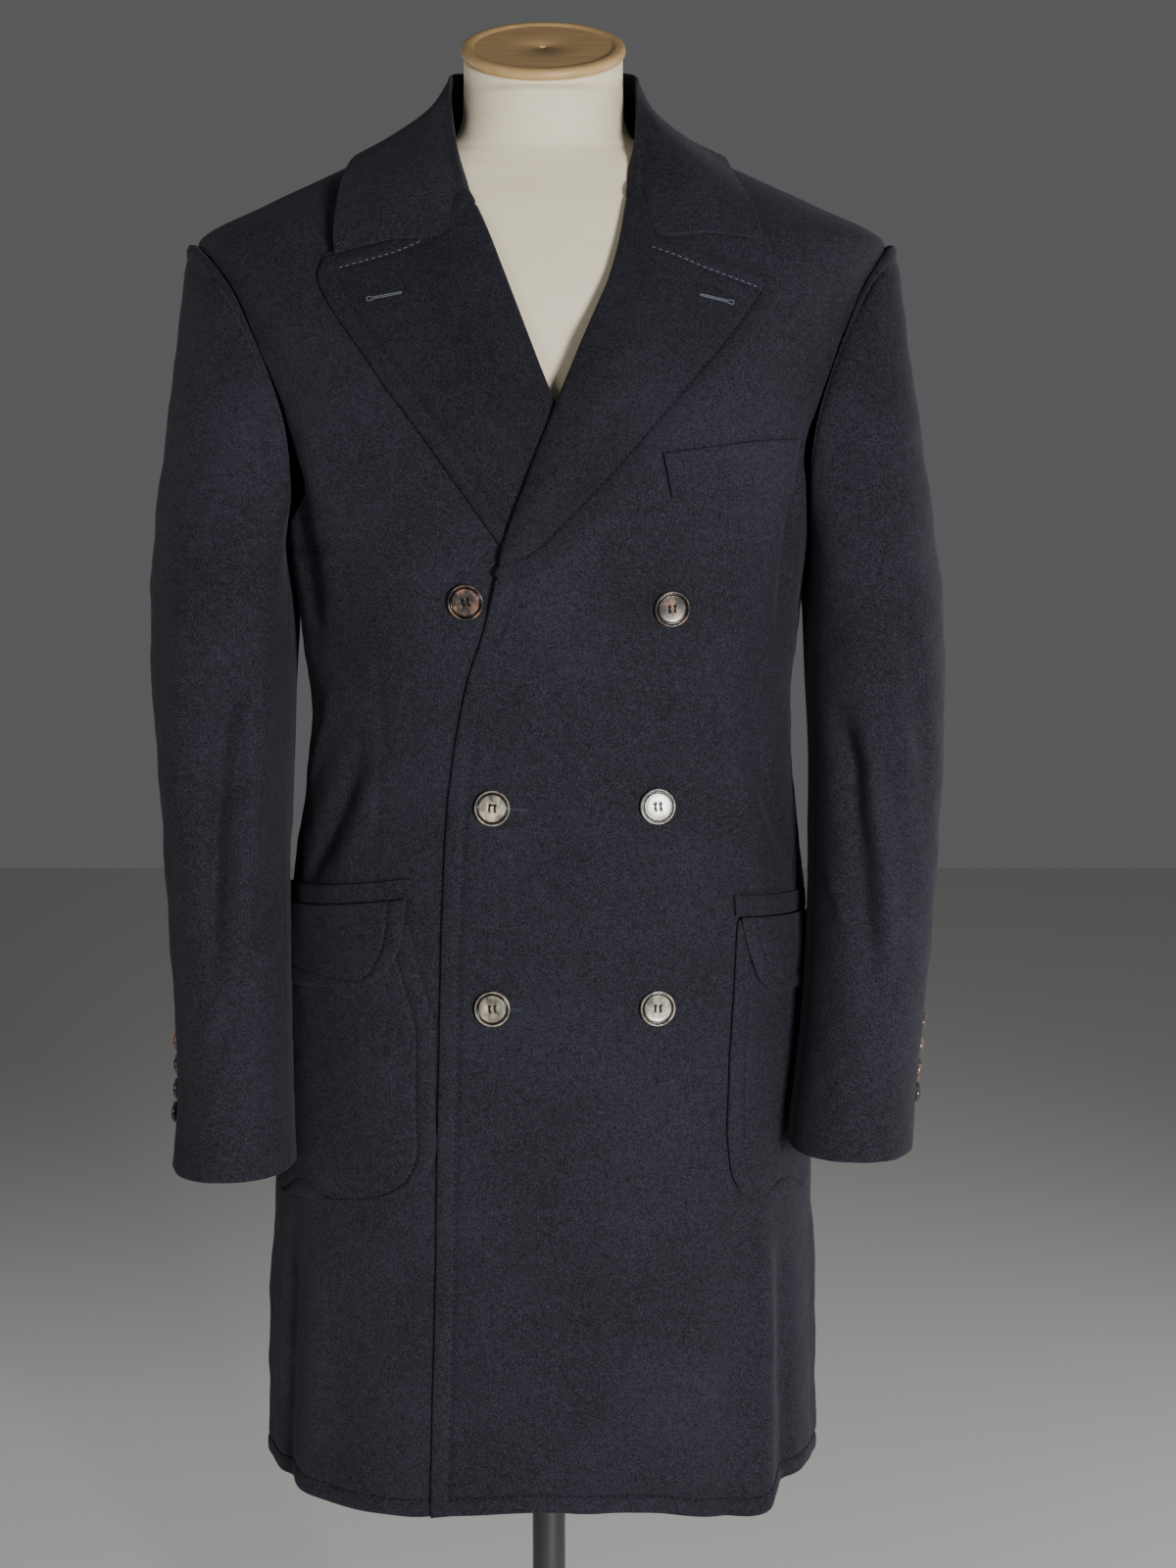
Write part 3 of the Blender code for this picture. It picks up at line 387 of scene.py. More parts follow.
# %% The wall, its edge and the rows of stitches
NEAR = np.array([0.0, 0.0004, 0.0010, 0.0018, 0.0032, 0.0060, 0.0090, 0.0113, 0.0125, STITCH_IN,
                 0.0145, 0.0158, 0.0185])
SOFT = np.array([0.0, 0.0004, 0.0010, 0.0018, 0.0034])
TURN = 0.0015         # width over which a cut edge rounds off
GROOVE = 0.00125
SWELL = 0.00095


def across_row(width, pitch, low, high):
    """Distances over each row: close lines from either end, then even ones. Narrow rows draw them in."""
    width = np.atleast_1d(np.asarray(width, float))[:, None]
    snug = np.minimum(1.0, width / (1.15 * (low[-1] + high[-1])))
    count = max(2, int(np.ceil((width.max() - low[-1] - high[-1]) / pitch)))
    share = np.linspace(0, 1, count + 1)[1:-1]
    start, end = low[-1] * snug, width - high[-1] * snug
    return np.concatenate([low * snug, start + (end - start) * share, width - high[::-1] * snug], axis=1)


def surface(name, points, quads, mat):
    """One mesh from an array of points and an array of four-sided faces, laid in with foreach_set."""
    mesh = bpy.data.meshes.new(name)
    mesh.vertices.add(len(points))
    mesh.vertices.foreach_set("co", np.ascontiguousarray(points, np.float32).ravel())
    mesh.loops.add(quads.size)
    mesh.loops.foreach_set("vertex_index", np.ascontiguousarray(quads, np.int32).ravel())
    mesh.polygons.add(len(quads))
    mesh.polygons.foreach_set("loop_start", np.arange(len(quads), dtype=np.int32) * quads.shape[1])
    mesh.polygons.foreach_set("use_smooth", np.ones(len(quads), bool))
    mesh.materials.append(mat)
    mesh.update(calc_edges=True)
    made = bpy.data.objects.new(name, mesh)
    bpy.context.scene.collection.objects.link(made)
    return made


def wall(name, inner, outer, mat):
    """A closed wall between two grids: both faces, then the four cut edges."""
    rows, cols = inner.shape[:2]
    index = np.arange(rows * cols).reshape(rows, cols)
    a, b, c, d = index[:-1, :-1], index[:-1, 1:], index[1:, 1:], index[1:, :-1]
    half = rows * cols

    def strip(p, q):
        return np.stack([p, q, half + q, half + p], axis=-1).reshape(-1, 4)

    quads = np.concatenate([
        np.stack([a, b, c, d], axis=-1).reshape(-1, 4) + half,
        np.stack([d, c, b, a], axis=-1).reshape(-1, 4),
        strip(index[0, :-1], index[0, 1:]), strip(index[-1, 1:], index[-1, :-1]),
        strip(index[1:, 0], index[:-1, 0]), strip(index[:-1, -1], index[1:, -1])])
    return surface(name, np.concatenate([inner.reshape(-1, 3), outer.reshape(-1, 3)]), quads, mat)


def grid_normal(points):
    """The cross product of the grid's step to the right and its step up."""
    return unit(np.cross(np.gradient(points, axis=1), np.gradient(points, axis=0)))


def run_along(points, axis):
    """Distance travelled along a grid in one direction, starting from zero."""
    step = np.linalg.norm(np.diff(points, axis=axis), axis=-1)
    start = np.zeros_like(np.take(step, [0], axis=axis))
    return np.concatenate([start, np.cumsum(step, axis=axis)], axis=axis)


def edges_of(points):
    """Distances from a grid's first column, last column, bottom row and top row."""
    side, up = run_along(points, 1), run_along(points, 0)
    return {"first": side, "last": side[:, -1:] - side, "low": up, "high": up[-1:] - up}


def thickness(points, stitched, free=("first", "last", "low", "high")):
    """Shares of the wall on the inner and outer face: rounded at free edges, swelled and grooved
    at stitched ones. The round is 1 - (1 - distance / turn)^2, the groove exp(-(off / width)^2)."""
    far = edges_of(points)
    nearest = np.minimum.reduce([far[e] for e in free])
    rounded = np.sqrt(np.clip(1 - (1 - np.clip(nearest / TURN, 0, 1)) ** 2, 0, 1))
    inner = 0.34 * CLOTH * (1 - rounded)
    outer = CLOTH * (1 - 0.34 * (1 - rounded))
    if stitched:
        edge = np.minimum.reduce([far[e] for e in stitched])
        outer = outer - GROOVE * np.exp(-((edge - STITCH_IN) / 0.0011) ** 2)
        outer = outer + SWELL * np.sin(np.pi * np.clip(edge / STITCH_IN, 0, 1))
    return inner, outer


def cloth(name, inner, normal, mat, stitched=(), free=("first", "last", "low", "high")):
    """The wall of a panel whose lining side is given, and the grid of its outer face."""
    low, high = thickness(inner, stitched, free)
    outer = inner + normal * high[..., None]
    return wall(name, inner + normal * low[..., None], outer, mat), outer


print("close lines at an edge:", len(NEAR))

# %% [markdown]
# ## Stitches
#
# Topstitching is a row of short threads, each pulled into the cloth at its ends. A dashed texture
# would look painted on from the side. Here one stitch is a thin spindle, and numpy lays copies of it
# along the groove at an even spacing, turned to follow it, so a whole row is a single mesh.

# %% A row of stitches
def spindle(length, thick, sides=6, rings=5):
    """A grid of points: radius thick * sqrt(sin), sagging at both ends."""
    t = np.linspace(0.04, 0.96, rings)[:, None]
    turn = np.linspace(0, 2 * np.pi, sides, endpoint=False)[None, :]
    radius = thick * np.sqrt(np.sin(np.pi * t))
    return np.stack([(t - 0.5) * length + 0 * turn, radius * np.cos(turn),
                     radius * np.sin(turn) * 0.8 + thick * (0.9 * np.sin(np.pi * t) - 0.3)], axis=-1)


def spindle_faces(sides=6, rings=5):
    """Quads round a spindle, and two more to close each end."""
    index = np.arange(sides * rings).reshape(rings, sides)
    around = np.roll(index, -1, axis=1)
    body_faces = np.stack([index[:-1], around[:-1], around[1:], index[1:]], axis=-1).reshape(-1, 4)
    ends = [(0, 5, 4, 1), (1, 4, 3, 2), (24, 25, 28, 29), (25, 26, 27, 28)]
    return np.concatenate([body_faces[:, ::-1], np.array(ends)])


def stitch_rows(name, paths, mat, length=0.0031, spacing=0.0046, thick=0.00036):
    """Copies of a spindle along each path of points and normals, at even distances."""
    base, faces = spindle(length, thick).reshape(-1, 3), spindle_faces()
    places, frames = [], []
    for points, normals in paths:
        run = run_along(points[None], 1)[0]
        at = np.arange(spacing / 2, run[-1], spacing)
        if len(at) < 2:
            continue
        spot = np.stack([np.interp(at, run, points[:, k]) for k in range(3)], axis=-1)
        ahead = np.stack([np.interp(at + 0.001, run, points[:, k]) for k in range(3)], axis=-1)
        behind = np.stack([np.interp(at - 0.001, run, points[:, k]) for k in range(3)], axis=-1)
        out = unit(np.stack([np.interp(at, run, normals[:, k]) for k in range(3)], axis=-1))
        along = unit(ahead - behind)
        side = unit(np.cross(out, along))
        places.append(spot)
        frames.append(np.stack([along, side, np.cross(along, side)], axis=1))
    place, turn = np.concatenate(places), np.concatenate(frames)
    points = np.einsum("vk,nkj->nvj", base, turn) + place[:, None]
    quads = faces[None] + np.arange(len(place))[:, None, None] * len(base)
    return surface(name, points.reshape(-1, 3), quads.reshape(-1, 4), mat)


def read_at(far, values, distance):
    """Each row's values where its distance, which only grows or only falls, is the one asked for."""
    if far[0, 0] > far[0, -1]:
        far, values = far[:, ::-1], values[:, ::-1]
    return np.array([[np.interp(distance, f, v[:, k]) for k in range(3)] for f, v in zip(far, values)])


def stitch_lines(outer, normal, sides):
    """Paths along a face's stitched edges, at the stitch distance, stopping at each corner."""
    far = edges_of(outer)
    paths = []
    for side in sides:
        flip = side in ("low", "high")
        away = far[side].T if flip else far[side]
        points = read_at(away, outer.swapaxes(0, 1) if flip else outer, STITCH_IN)
        normals = read_at(away, normal.swapaxes(0, 1) if flip else normal, STITCH_IN)
        keep = np.ones(len(points), bool)
        for other in sides:
            if other != side:
                across = far[other].T if flip else far[other]
                nearest = np.argmin(np.abs(away - STITCH_IN), axis=1)
                keep &= across[np.arange(len(across)), nearest] >= STITCH_IN - 0.0004
        paths.append((points[keep], normals[keep]))
    return paths


def worn(piece, node, slot, *more):
    """The piece stands for its plain node, which is hidden, and rides on the body with any extras. The slot
    is not used.
    """
    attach(piece, "root")
    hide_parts(node)
    for extra in more:
        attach(extra, "root")
    return piece


def cut_from(piece, grid):
    """Prints a sheet's cut: its widest and longest run, and its area that of the grid."""
    far = edges_of(grid)
    width = round(float(far["first"][:, -1].max()) + 0.004, 3)
    length = round(float(far["low"][-1].max()) + 0.004, 3)
    a, b = grid[1:, 1:] - grid[:-1, :-1], grid[1:, :-1] - grid[:-1, 1:]
    area = float(np.linalg.norm(np.cross(a, b), axis=-1).sum() / 2)
    area = round(min(max(area, 0.31 * width * length), width * length), 4)
    print(f"{piece.name}: cut {width:.3f} x {length:.3f} m, {area:.4f} m2")


print("a stitch has", len(spindle_faces()), "faces")

# %% [markdown]
# ## Fronts and backs
#
# Four panels hang from the shoulders. The left front laps over the right by about a hand's breadth,
# and both run up to the roll line, where the lapels turn back. Each panel is a grid of angles round
# the body and heights, pushed outward by the folds and by whatever it lies on.

# %% Grids on the body
AROUND = np.linspace(-190, 190, 1141)


def overlap_lift(x, height):
    """How far the left front stands off the body to pass over the right front and its lapel."""
    over_front = (CLOTH + 1.5 * LAID) * (1 - ease((x - 0.122) / 0.045)) * (1 - ease((height - 1.310) / 0.06))
    past_edge = x - smooth(LEFT_EDGE, 1, height)
    over_lapel = (CLOTH + 3 * LAID) * ease((height - 1.150) / 0.035) * (1 - ease((height - 1.330) / 0.06))
    return over_front + over_lapel * (1 - ease((past_edge - 0.035) / 0.05))


def front_lift(x, height, left):
    """What a front rests on: the overlap for the left one, nothing for the right."""
    return overlap_lift(x, height) if left else np.zeros(np.broadcast(x, height).shape)


def angles_over(first, last, heights, pitch, low, high):
    """Angles at set distances across each level row: its arc length is summed, then read backwards."""
    ring = body(AROUND[None, :], heights[:, None])
    run = run_along(ring, 1)
    start = np.array([np.interp(a, AROUND, r) for a, r in zip(first, run)])
    end = np.array([np.interp(a, AROUND, r) for a, r in zip(last, run)])
    off = across_row(end - start, pitch, low, high) + start[:, None]
    return np.array([np.interp(o, r, AROUND) for o, r in zip(off, run)])


def on_body(angle, height, lift):
    """Points at that lift above the body and its folds, and the body's normals there."""
    normal = body_normal(angle, height)
    return body(angle, height) + normal * (np.asarray(lift) + crease(angle, height))[..., None], normal


def armhole_angle(column, height):
    """The panel's edge: the side seam below the armhole, the shoulder seam above it."""
    return np.where(height < ARMPIT - 1e-6, 96.0,
                    np.where(height > SHOULDER + 1e-6, 91.0, smooth(ARMHOLE, column, height)))


def panel(name, node, first, last, lift, low, high, stitched, sink=0.0):
    """One body panel, its cut edges rounded, its hem dropped as the hemline says."""
    hem_rows = across_row(ARMPIT - 0.002 - HEM, 0.0052, NEAR, SOFT)[0] + HEM
    arm_rows = np.linspace(ARMPIT, SHOULDER, 64)
    top_rows = across_row(NECK - SHOULDER - 0.0015, 0.0042, SOFT, SOFT)[0] + SHOULDER + 0.0015
    heights = np.concatenate([hem_rows, arm_rows, top_rows])
    angle = angles_over(first(heights), last(heights), heights, 0.0042, low, high)
    height = heights[:, None] + 0 * angle
    height = height + smooth(HEMLINE, 1, angle) * np.clip(1 - (height - HEM) / 0.20, 0, 1)
    inner, normal = on_body(angle, height, lift(angle, height) - sink)
    piece, outer = cloth(name, inner, normal, WOOL, stitched)
    return piece, inner, outer, normal


ROLL_END = 1.150      # where a front's edge begins to turn back, and its topstitching stops


def below(path, height):
    """The part of a path of points and normals below a height."""
    keep = path[0][:, 2] < height
    return path[0][keep], path[1][keep]


for side, word in ((-1, "right"), (1, "left")):
    left = side > 0
    arm_column = 2 if left else 1

    def own_edge(h, left=left):
        return angle_at(smooth(LEFT_EDGE if left else RIGHT_EDGE, 1, h), h)

    def seam_edge(h, side=side, arm_column=arm_column):
        return side * (armhole_angle(arm_column, h) - 0.02)

    def lift(angle, height, left=left):
        return front_lift(body(angle, height)[..., 0], height, left)

    first, last = (own_edge, seam_edge) if left else (seam_edge, own_edge)
    low, high = (NEAR, SOFT) if left else (SOFT, NEAR)
    front_side = "first" if left else "last"
    piece, inner, outer, normal = panel(f"front_{word}_cloth", f"{word}_front", first, last, lift, low, high,
                                        (front_side, "low"))
    paths = stitch_lines(outer, normal, (front_side, "low"))
    paths[0] = below(paths[0], ROLL_END)
    seams = stitch_rows(f"front_{word}_stitches", paths, THREAD)
    worn(piece, f"{word}_front", "wool", seams)
    cut_from(piece, inner)

for side, word in ((1, "left"), (-1, "right")):
    def seam(h, side=side):
        return side * (armhole_angle(3, h) + 0.02)

    def centre(h, side=side):
        return side * 180.0 + 0 * h - side * 0.01

    first, last = (seam, centre) if side > 0 else (centre, seam)
    piece, inner, outer, normal = panel(f"back_{word}_cloth", f"back_{word}", first, last,
                                        lambda angle, height: 0 * angle, SOFT, SOFT, ("low",))
    seams = stitch_rows(f"back_{word}_hem_stitches", stitch_lines(outer, normal, ("low",)), THREAD)
    worn(piece, f"back_{word}", "wool", seams)
    cut_from(piece, inner)

# %% [markdown]
# ## Sleeves
#
# A coat sleeve has two pieces, a broad top and a narrow under, and hangs forward of the side seam.
# A bent tube would do for a shirt. Here the top ring follows the armhole's own loop and melts into
# oval sections within a hand's width, so the head sits in the armhole as a set-in sleeve does. A
# little fullness is eased into the head, which shows as small uneven ripples.

# %% The tubes and their two halves
SLEEVE = np.array([
    # height, right outer, right inner, left outer, left inner, forward, half depth
    (1.420, 0.2535, 0.190, 0.2485, 0.186, -0.004, 0.066),
    (1.375, 0.2600, 0.186, 0.2552, 0.184, -0.003, 0.072),
    (1.333, 0.2654, 0.184, 0.2610, 0.184, -0.003, 0.076),
    (1.290, 0.2702, 0.182, 0.2672, 0.185, -0.004, 0.078),
    (1.250, 0.2758, 0.181, 0.2732, 0.185, -0.006, 0.077),
    (1.207, 0.2808, 0.180, 0.2790, 0.186, -0.010, 0.075),
    (1.165, 0.2830, 0.179, 0.2842, 0.186, -0.016, 0.073),
    (1.108, 0.2826, 0.181, 0.2856, 0.187, -0.026, 0.070),
    (1.052, 0.2775, 0.182, 0.2842, 0.189, -0.038, 0.068),
    (0.998, 0.2724, 0.183, 0.2800, 0.188, -0.050, 0.066),
    (0.943, 0.2674, 0.181, 0.2748, 0.186, -0.062, 0.064),
    (0.888, 0.2626, 0.180, 0.2687, 0.183, -0.073, 0.062),
    (0.833, 0.2599, 0.179, 0.2626, 0.177, -0.083, 0.060),
    (0.792, 0.2613, 0.178, 0.2598, 0.172, -0.089, 0.060),
    (0.755, 0.2660, 0.176, 0.2577, 0.170, -0.092, 0.061)])[::-1]
CUFF = {"right": 0.770, "left": 0.784}
FORE_SEAM, HIND_SEAM = 24.0, 232.0


def sleeve_mouth(side, front_column):
    """The armhole's loop of points, and how far round it each lies: 0 at the armpit, 180 on top."""
    rise = ARMHOLE[:, 0]
    front = np.stack([side * ARMHOLE[:, front_column], rise], axis=-1)
    back = np.stack([side * ARMHOLE[:, 3], rise], axis=-1)[-2:0:-1]
    loop = np.concatenate([front, back])
    low = 1 - ease((loop[:, 1] - ARMPIT - 0.02) / 0.06)
    stand = CLOTH + LAID + (CLOTH + 0.0012) * low
    mouth = body(loop[:, 0], loop[:, 1]) + body_normal(loop[:, 0], loop[:, 1]) * stand[:, None]
    top = len(front) - 1
    mouth[top] += (side * 0.0012, 0, 0)
    run = run_along(np.concatenate([mouth, mouth[:1]])[None], 1)[0]
    turn = np.where(np.arange(len(loop)) <= top, 180 * run[:-1] / run[top],
                    180 + 180 * (run[:-1] - run[top]) / (run[-1] - run[top]))
    return turn, mouth


def loop_at(turn, points, at):
    """A smooth closed loop through the points, read at any turn."""
    keyed = np.column_stack([np.concatenate([turn[-3:] - 360, turn, turn[:3] + 360]),
                             np.concatenate([points[-3:], points, points[:3]])])
    return np.stack([smooth(keyed, k, at) for k in (1, 2, 3)], axis=-1)


def sleeve_tube(side, word, turn, share):
    """The lining side of a sleeve for turns round it and shares down it. Below the mouth each ring
    is a superellipse of power 2.3, blended in by exp(-drop / reach)."""
    known, loop = sleeve_mouth(side, 1 if side < 0 else 2)
    outer_column, inner_column = (1, 2) if side < 0 else (3, 4)
    mouth = loop_at(known, loop, turn % 360)[None]
    share = share[:, None]
    height = mouth[..., 2] * (1 - share) + CUFF[word] * share
    around = np.radians(turn - 22.0 * share * np.sin(np.radians(turn / 2)) ** 2)

    def ring(level):
        out, inn = smooth(SLEEVE, outer_column, level), smooth(SLEEVE, inner_column, level)
        size = (np.abs(np.cos(around)) ** 2.3 + np.abs(np.sin(around)) ** 2.3) ** (1 / 2.3)
        x = (out + inn) / 2 - ((out - inn) / 2 - CLOTH) * np.cos(around) / size
        return x, smooth(SLEEVE, 5, level) - (smooth(SLEEVE, 6, level) - CLOTH) * np.sin(around) / size

    x, y = ring(height)
    x0, y0 = ring(mouth[..., 2] + 0 * height)
    fade = np.exp(-(mouth[..., 2] - height) / (0.012 + 0.050 * np.abs(np.sin(np.radians(turn)))))
    x, y = x + (side * mouth[..., 0] - x0) * fade, y + (mouth[..., 1] - y0) * fade
    deep = np.where(y < 0, smooth(BODY, 3, height), smooth(BODY, 4, height))
    square = smooth(BODY, 5, height)
    reach = (1 - np.clip(np.abs(y) / deep, 0, 0.995) ** square) ** (1 / square)
    pocket = ease((height - 0.70) / 0.05) * (1 - ease((height - 0.99) / 0.03)) * (y < 0)
    clear = (smooth(BODY, 1 if side < 0 else 2, height) * reach + 2 * CLOTH + 0.0032
             + 0.0065 * pocket * ease((-y - 0.005) / 0.02))
    x = np.where((np.abs(y) < deep) & (share > 0), np.maximum(x, clear), x)
    return np.stack([side * x, y, height], axis=-1)


def sleeve_creases(word, turn, share, height):
    """Folds, waver and the eased head, all fading where the sleeve touches the body."""
    folds = RIGHT_SLEEVE_FOLDS if word == "right" else LEFT_SLEEVE_FOLDS
    away = ease((1 - np.cos(np.radians(turn - 8))) / 0.34)
    down = ease((share[:, None] - 0.02) / 0.10)
    ripple = np.sin(np.radians(turn * 11.3)) + 0.6 * np.sin(np.radians(turn * 18.7 + 40))
    head = 0.00060 * ripple * np.exp(-((share[:, None] - 0.035) / 0.03) ** 2) * ease((turn - 70) / 40)
    head = head * ease((290 - turn) / 40)
    roll = 0.0016 * np.exp(-((share[:, None] - 0.022) / 0.020) ** 2)
    roll = roll * ease((turn - 60) / 50) * ease((300 - turn) / 50)
    wave = waver(turn, height, 0.062)
    return (folded(folds, turn, height, 0.062) + wave) * away * down + (head + roll)


def sleeve_half(side, word, half, first, last):
    """One half of a sleeve between two seams, as a closed wall."""
    girth = 0.0013 * (last - first)
    turn = across_row(girth, 0.0034, SOFT, SOFT)[0] / girth * (last - first) + first
    down = across_row(0.62, 0.0045, SOFT, NEAR)[0] / 0.62
    inside = sleeve_tube(side, word, turn, down)
    beside = sleeve_tube(side, word, turn + 0.4, down) - sleeve_tube(side, word, turn - 0.4, down)
    normal = unit(np.cross(beside, -np.gradient(inside, axis=0))) * side
    inside = inside + normal * sleeve_creases(word, turn[None, :], down, inside[..., 2])[..., None]
    inside, normal = inside[::-1], normal[::-1]
    if side < 0:
        inside, normal = inside[:, ::-1], normal[:, ::-1]
    piece, outer = cloth(f"sleeve_{word}_{half}_cloth", inside, normal, WOOL)
    worn(piece, f"sleeve_{word}_{half}", "wool")
    cut_from(piece, inside)
    return piece


for side, word in ((-1, "right"), (1, "left")):
    sleeve_half(side, word, "top", FORE_SEAM + 0.1, HIND_SEAM - 0.1)
    sleeve_half(side, word, "under", HIND_SEAM + 0.1, FORE_SEAM + 360 - 0.1)

# %% [markdown]
# ## Lapels
#
# A lapel is the top of the front folded back, so it has no cut edge along the roll: the cloth curls
# round. It is built as a grid from the roll line out to the edge, and the first columns run round a
# half circle tucked behind the front, which gives the soft roll that a pressed crease would lack.

# %% Rolled lapels
LAPEL_RIGHT = np.array([
    # roll x, roll height, edge x, edge height
    (0.0220, 1.260, -0.0160, 1.187), (0.0072, 1.293, -0.0356, 1.214), (-0.0030, 1.317, -0.0580, 1.246),
    (-0.0110, 1.337, -0.0808, 1.278), (-0.0198, 1.360, -0.1000, 1.303), (-0.0310, 1.389, -0.1190, 1.330),
    (-0.0400, 1.412, -0.1390, 1.358), (-0.0480, 1.430, -0.1490, 1.375), (-0.0530, 1.439, -0.1520, 1.3855),
    (-0.0550, 1.4435, -0.1485, 1.3965)])
LAPEL_LEFT = np.array([
    # roll x, roll height, edge x, edge height
    (-0.0315, 1.185, -0.0285, 1.178), (-0.0190, 1.221, 0.0020, 1.191), (-0.0060, 1.254, 0.0290, 1.217),
    (0.0080, 1.287, 0.0560, 1.246), (0.0213, 1.319, 0.0830, 1.277), (0.0350, 1.352, 0.1090, 1.307),
    (0.0470, 1.381, 0.1320, 1.334), (0.0545, 1.408, 0.1510, 1.359), (0.0590, 1.435, 0.1590, 1.374),
    (0.0612, 1.4490, 0.1570, 1.3835)])
KINK = 0.14           # share of the width at which the top edge turns down from the roll
DIP = {"right": 0.0190, "left": 0.0278}
CURL = np.radians([150, 128, 106, 84, 62, 42, 22])


def lapel(word, table):
    """Straight lines from roll to edge, bowed down at the top by the dip, puffed by a half sine.
    The left one lies down toward its lower end, where it runs out into the front's edge."""
    left = word == "left"
    keyed = np.column_stack([np.arange(len(table)) / (len(table) - 1), table])
    length = 0.30
    rows = across_row(length, 0.0030, SOFT, NEAR)[0] / length
    roll_x, roll_z, edge_x, edge_z = (smooth(keyed, k, rows)[:, None] for k in (1, 2, 3, 4))
    if left:
        short = np.maximum(0, smooth(LEFT_EDGE, 1, roll_z) + 0.0008 - roll_x)
        roll_x = roll_x + short * (1 - ease((rows[:, None] - 0.15) / 0.15))
    width = np.hypot(edge_x - roll_x, edge_z - roll_z)[:, 0] + 0.004
    share = across_row(width, 0.0028, np.array([0.0, 0.0014, 0.0030]), NEAR) / width[:, None]
    x, z = roll_x * (1 - share) + edge_x * share, roll_z * (1 - share) + edge_z * share
    z = z - DIP[word] * ease(np.where(share < KINK, share / KINK, 1) * 0.5) * 2 * np.where(
        share < KINK, 1, (1 - share) / (1 - KINK)) * ease((rows - 0.72) / 0.28)[:, None]
    puff = 0.0030 * np.sin(np.pi * np.clip(share / 0.5, 0, 1)) * ease(rows / 0.2)[:, None]
    edge = (1 - share) * width[:, None]
    pressed = ease((0.012 - edge) / 0.003) * ease((rows[:, None] - 0.10) / 0.1)
    pressed = pressed * (1 - ease((rows[:, None] - 0.60) / 0.1))
    ribs = 0.00095 * np.sin(2 * np.pi * rows[:, None] * length / 0.0062) * pressed * left
    base = (CLOTH + 1.5 * LAID) * (1 - 0.45 * left * (1 - ease(rows[:, None] / 0.10)))
    lift = front_lift(x, z, left) + base + puff + ribs - 0.0004 * np.exp(-share / 0.10)
    flat, _ = on_body(angle_at(x, z), z, lift)
    toward = unit(flat[:, :1] - flat[:, 1:2])
    out = body_normal(angle_at(x[:, :1], z[:, :1]), z[:, :1])
    round_by = (0.5 * base + 0.0002)[:, :, None]
    fullness = (1 - left * (1 - ease(rows / 0.14)))[:, None, None]
    curl = (flat[:, :1] - out * round_by + out * round_by * np.cos(CURL)[None, :, None]
            + toward * round_by * np.sin(CURL)[None, :, None] * fullness)
    inner = np.concatenate([curl, flat], axis=1)
    if not left:
        inner = inner[:, ::-1]
    normal = grid_normal(inner)
    edge_side = "last" if left else "first"
    # The lapel takes the darker copy of the wool, with its shade painted in.
    piece, outer = cloth(f"lapel_{word}_cloth", inner, normal, SHADED_LAPEL_WOOL, (edge_side, "high"))
    row = stitch_rows(f"lapel_{word}_edge_stitches", stitch_lines(outer, normal, (edge_side,)), THREAD)
    ends = slice(15, -11) if left else slice(11, -17)
    points, normals = stitch_lines(outer, normal, ("high",))[0]
    gorge = stitch_rows(f"lapel_{word}_gorge_stitches", [(points[ends], normals[ends])],
                        BRIGHT_THREAD, thick=0.00042)
    worn(piece, f"{word}_lapel", "wool", row, gorge)
    cut_from(piece, inner)


lapel("right", LAPEL_RIGHT)
lapel("left", LAPEL_LEFT)

# %% [markdown]
# ## Collar
#
# Stand and fall are one piece that folds over itself. Each of fifteen stations round the neck gives
# the stand's foot, the fold and three points down the fall, and a smooth curve runs through them both
# ways. Cutting it as a flat sheet and bending it would be truer, but far harder to place.

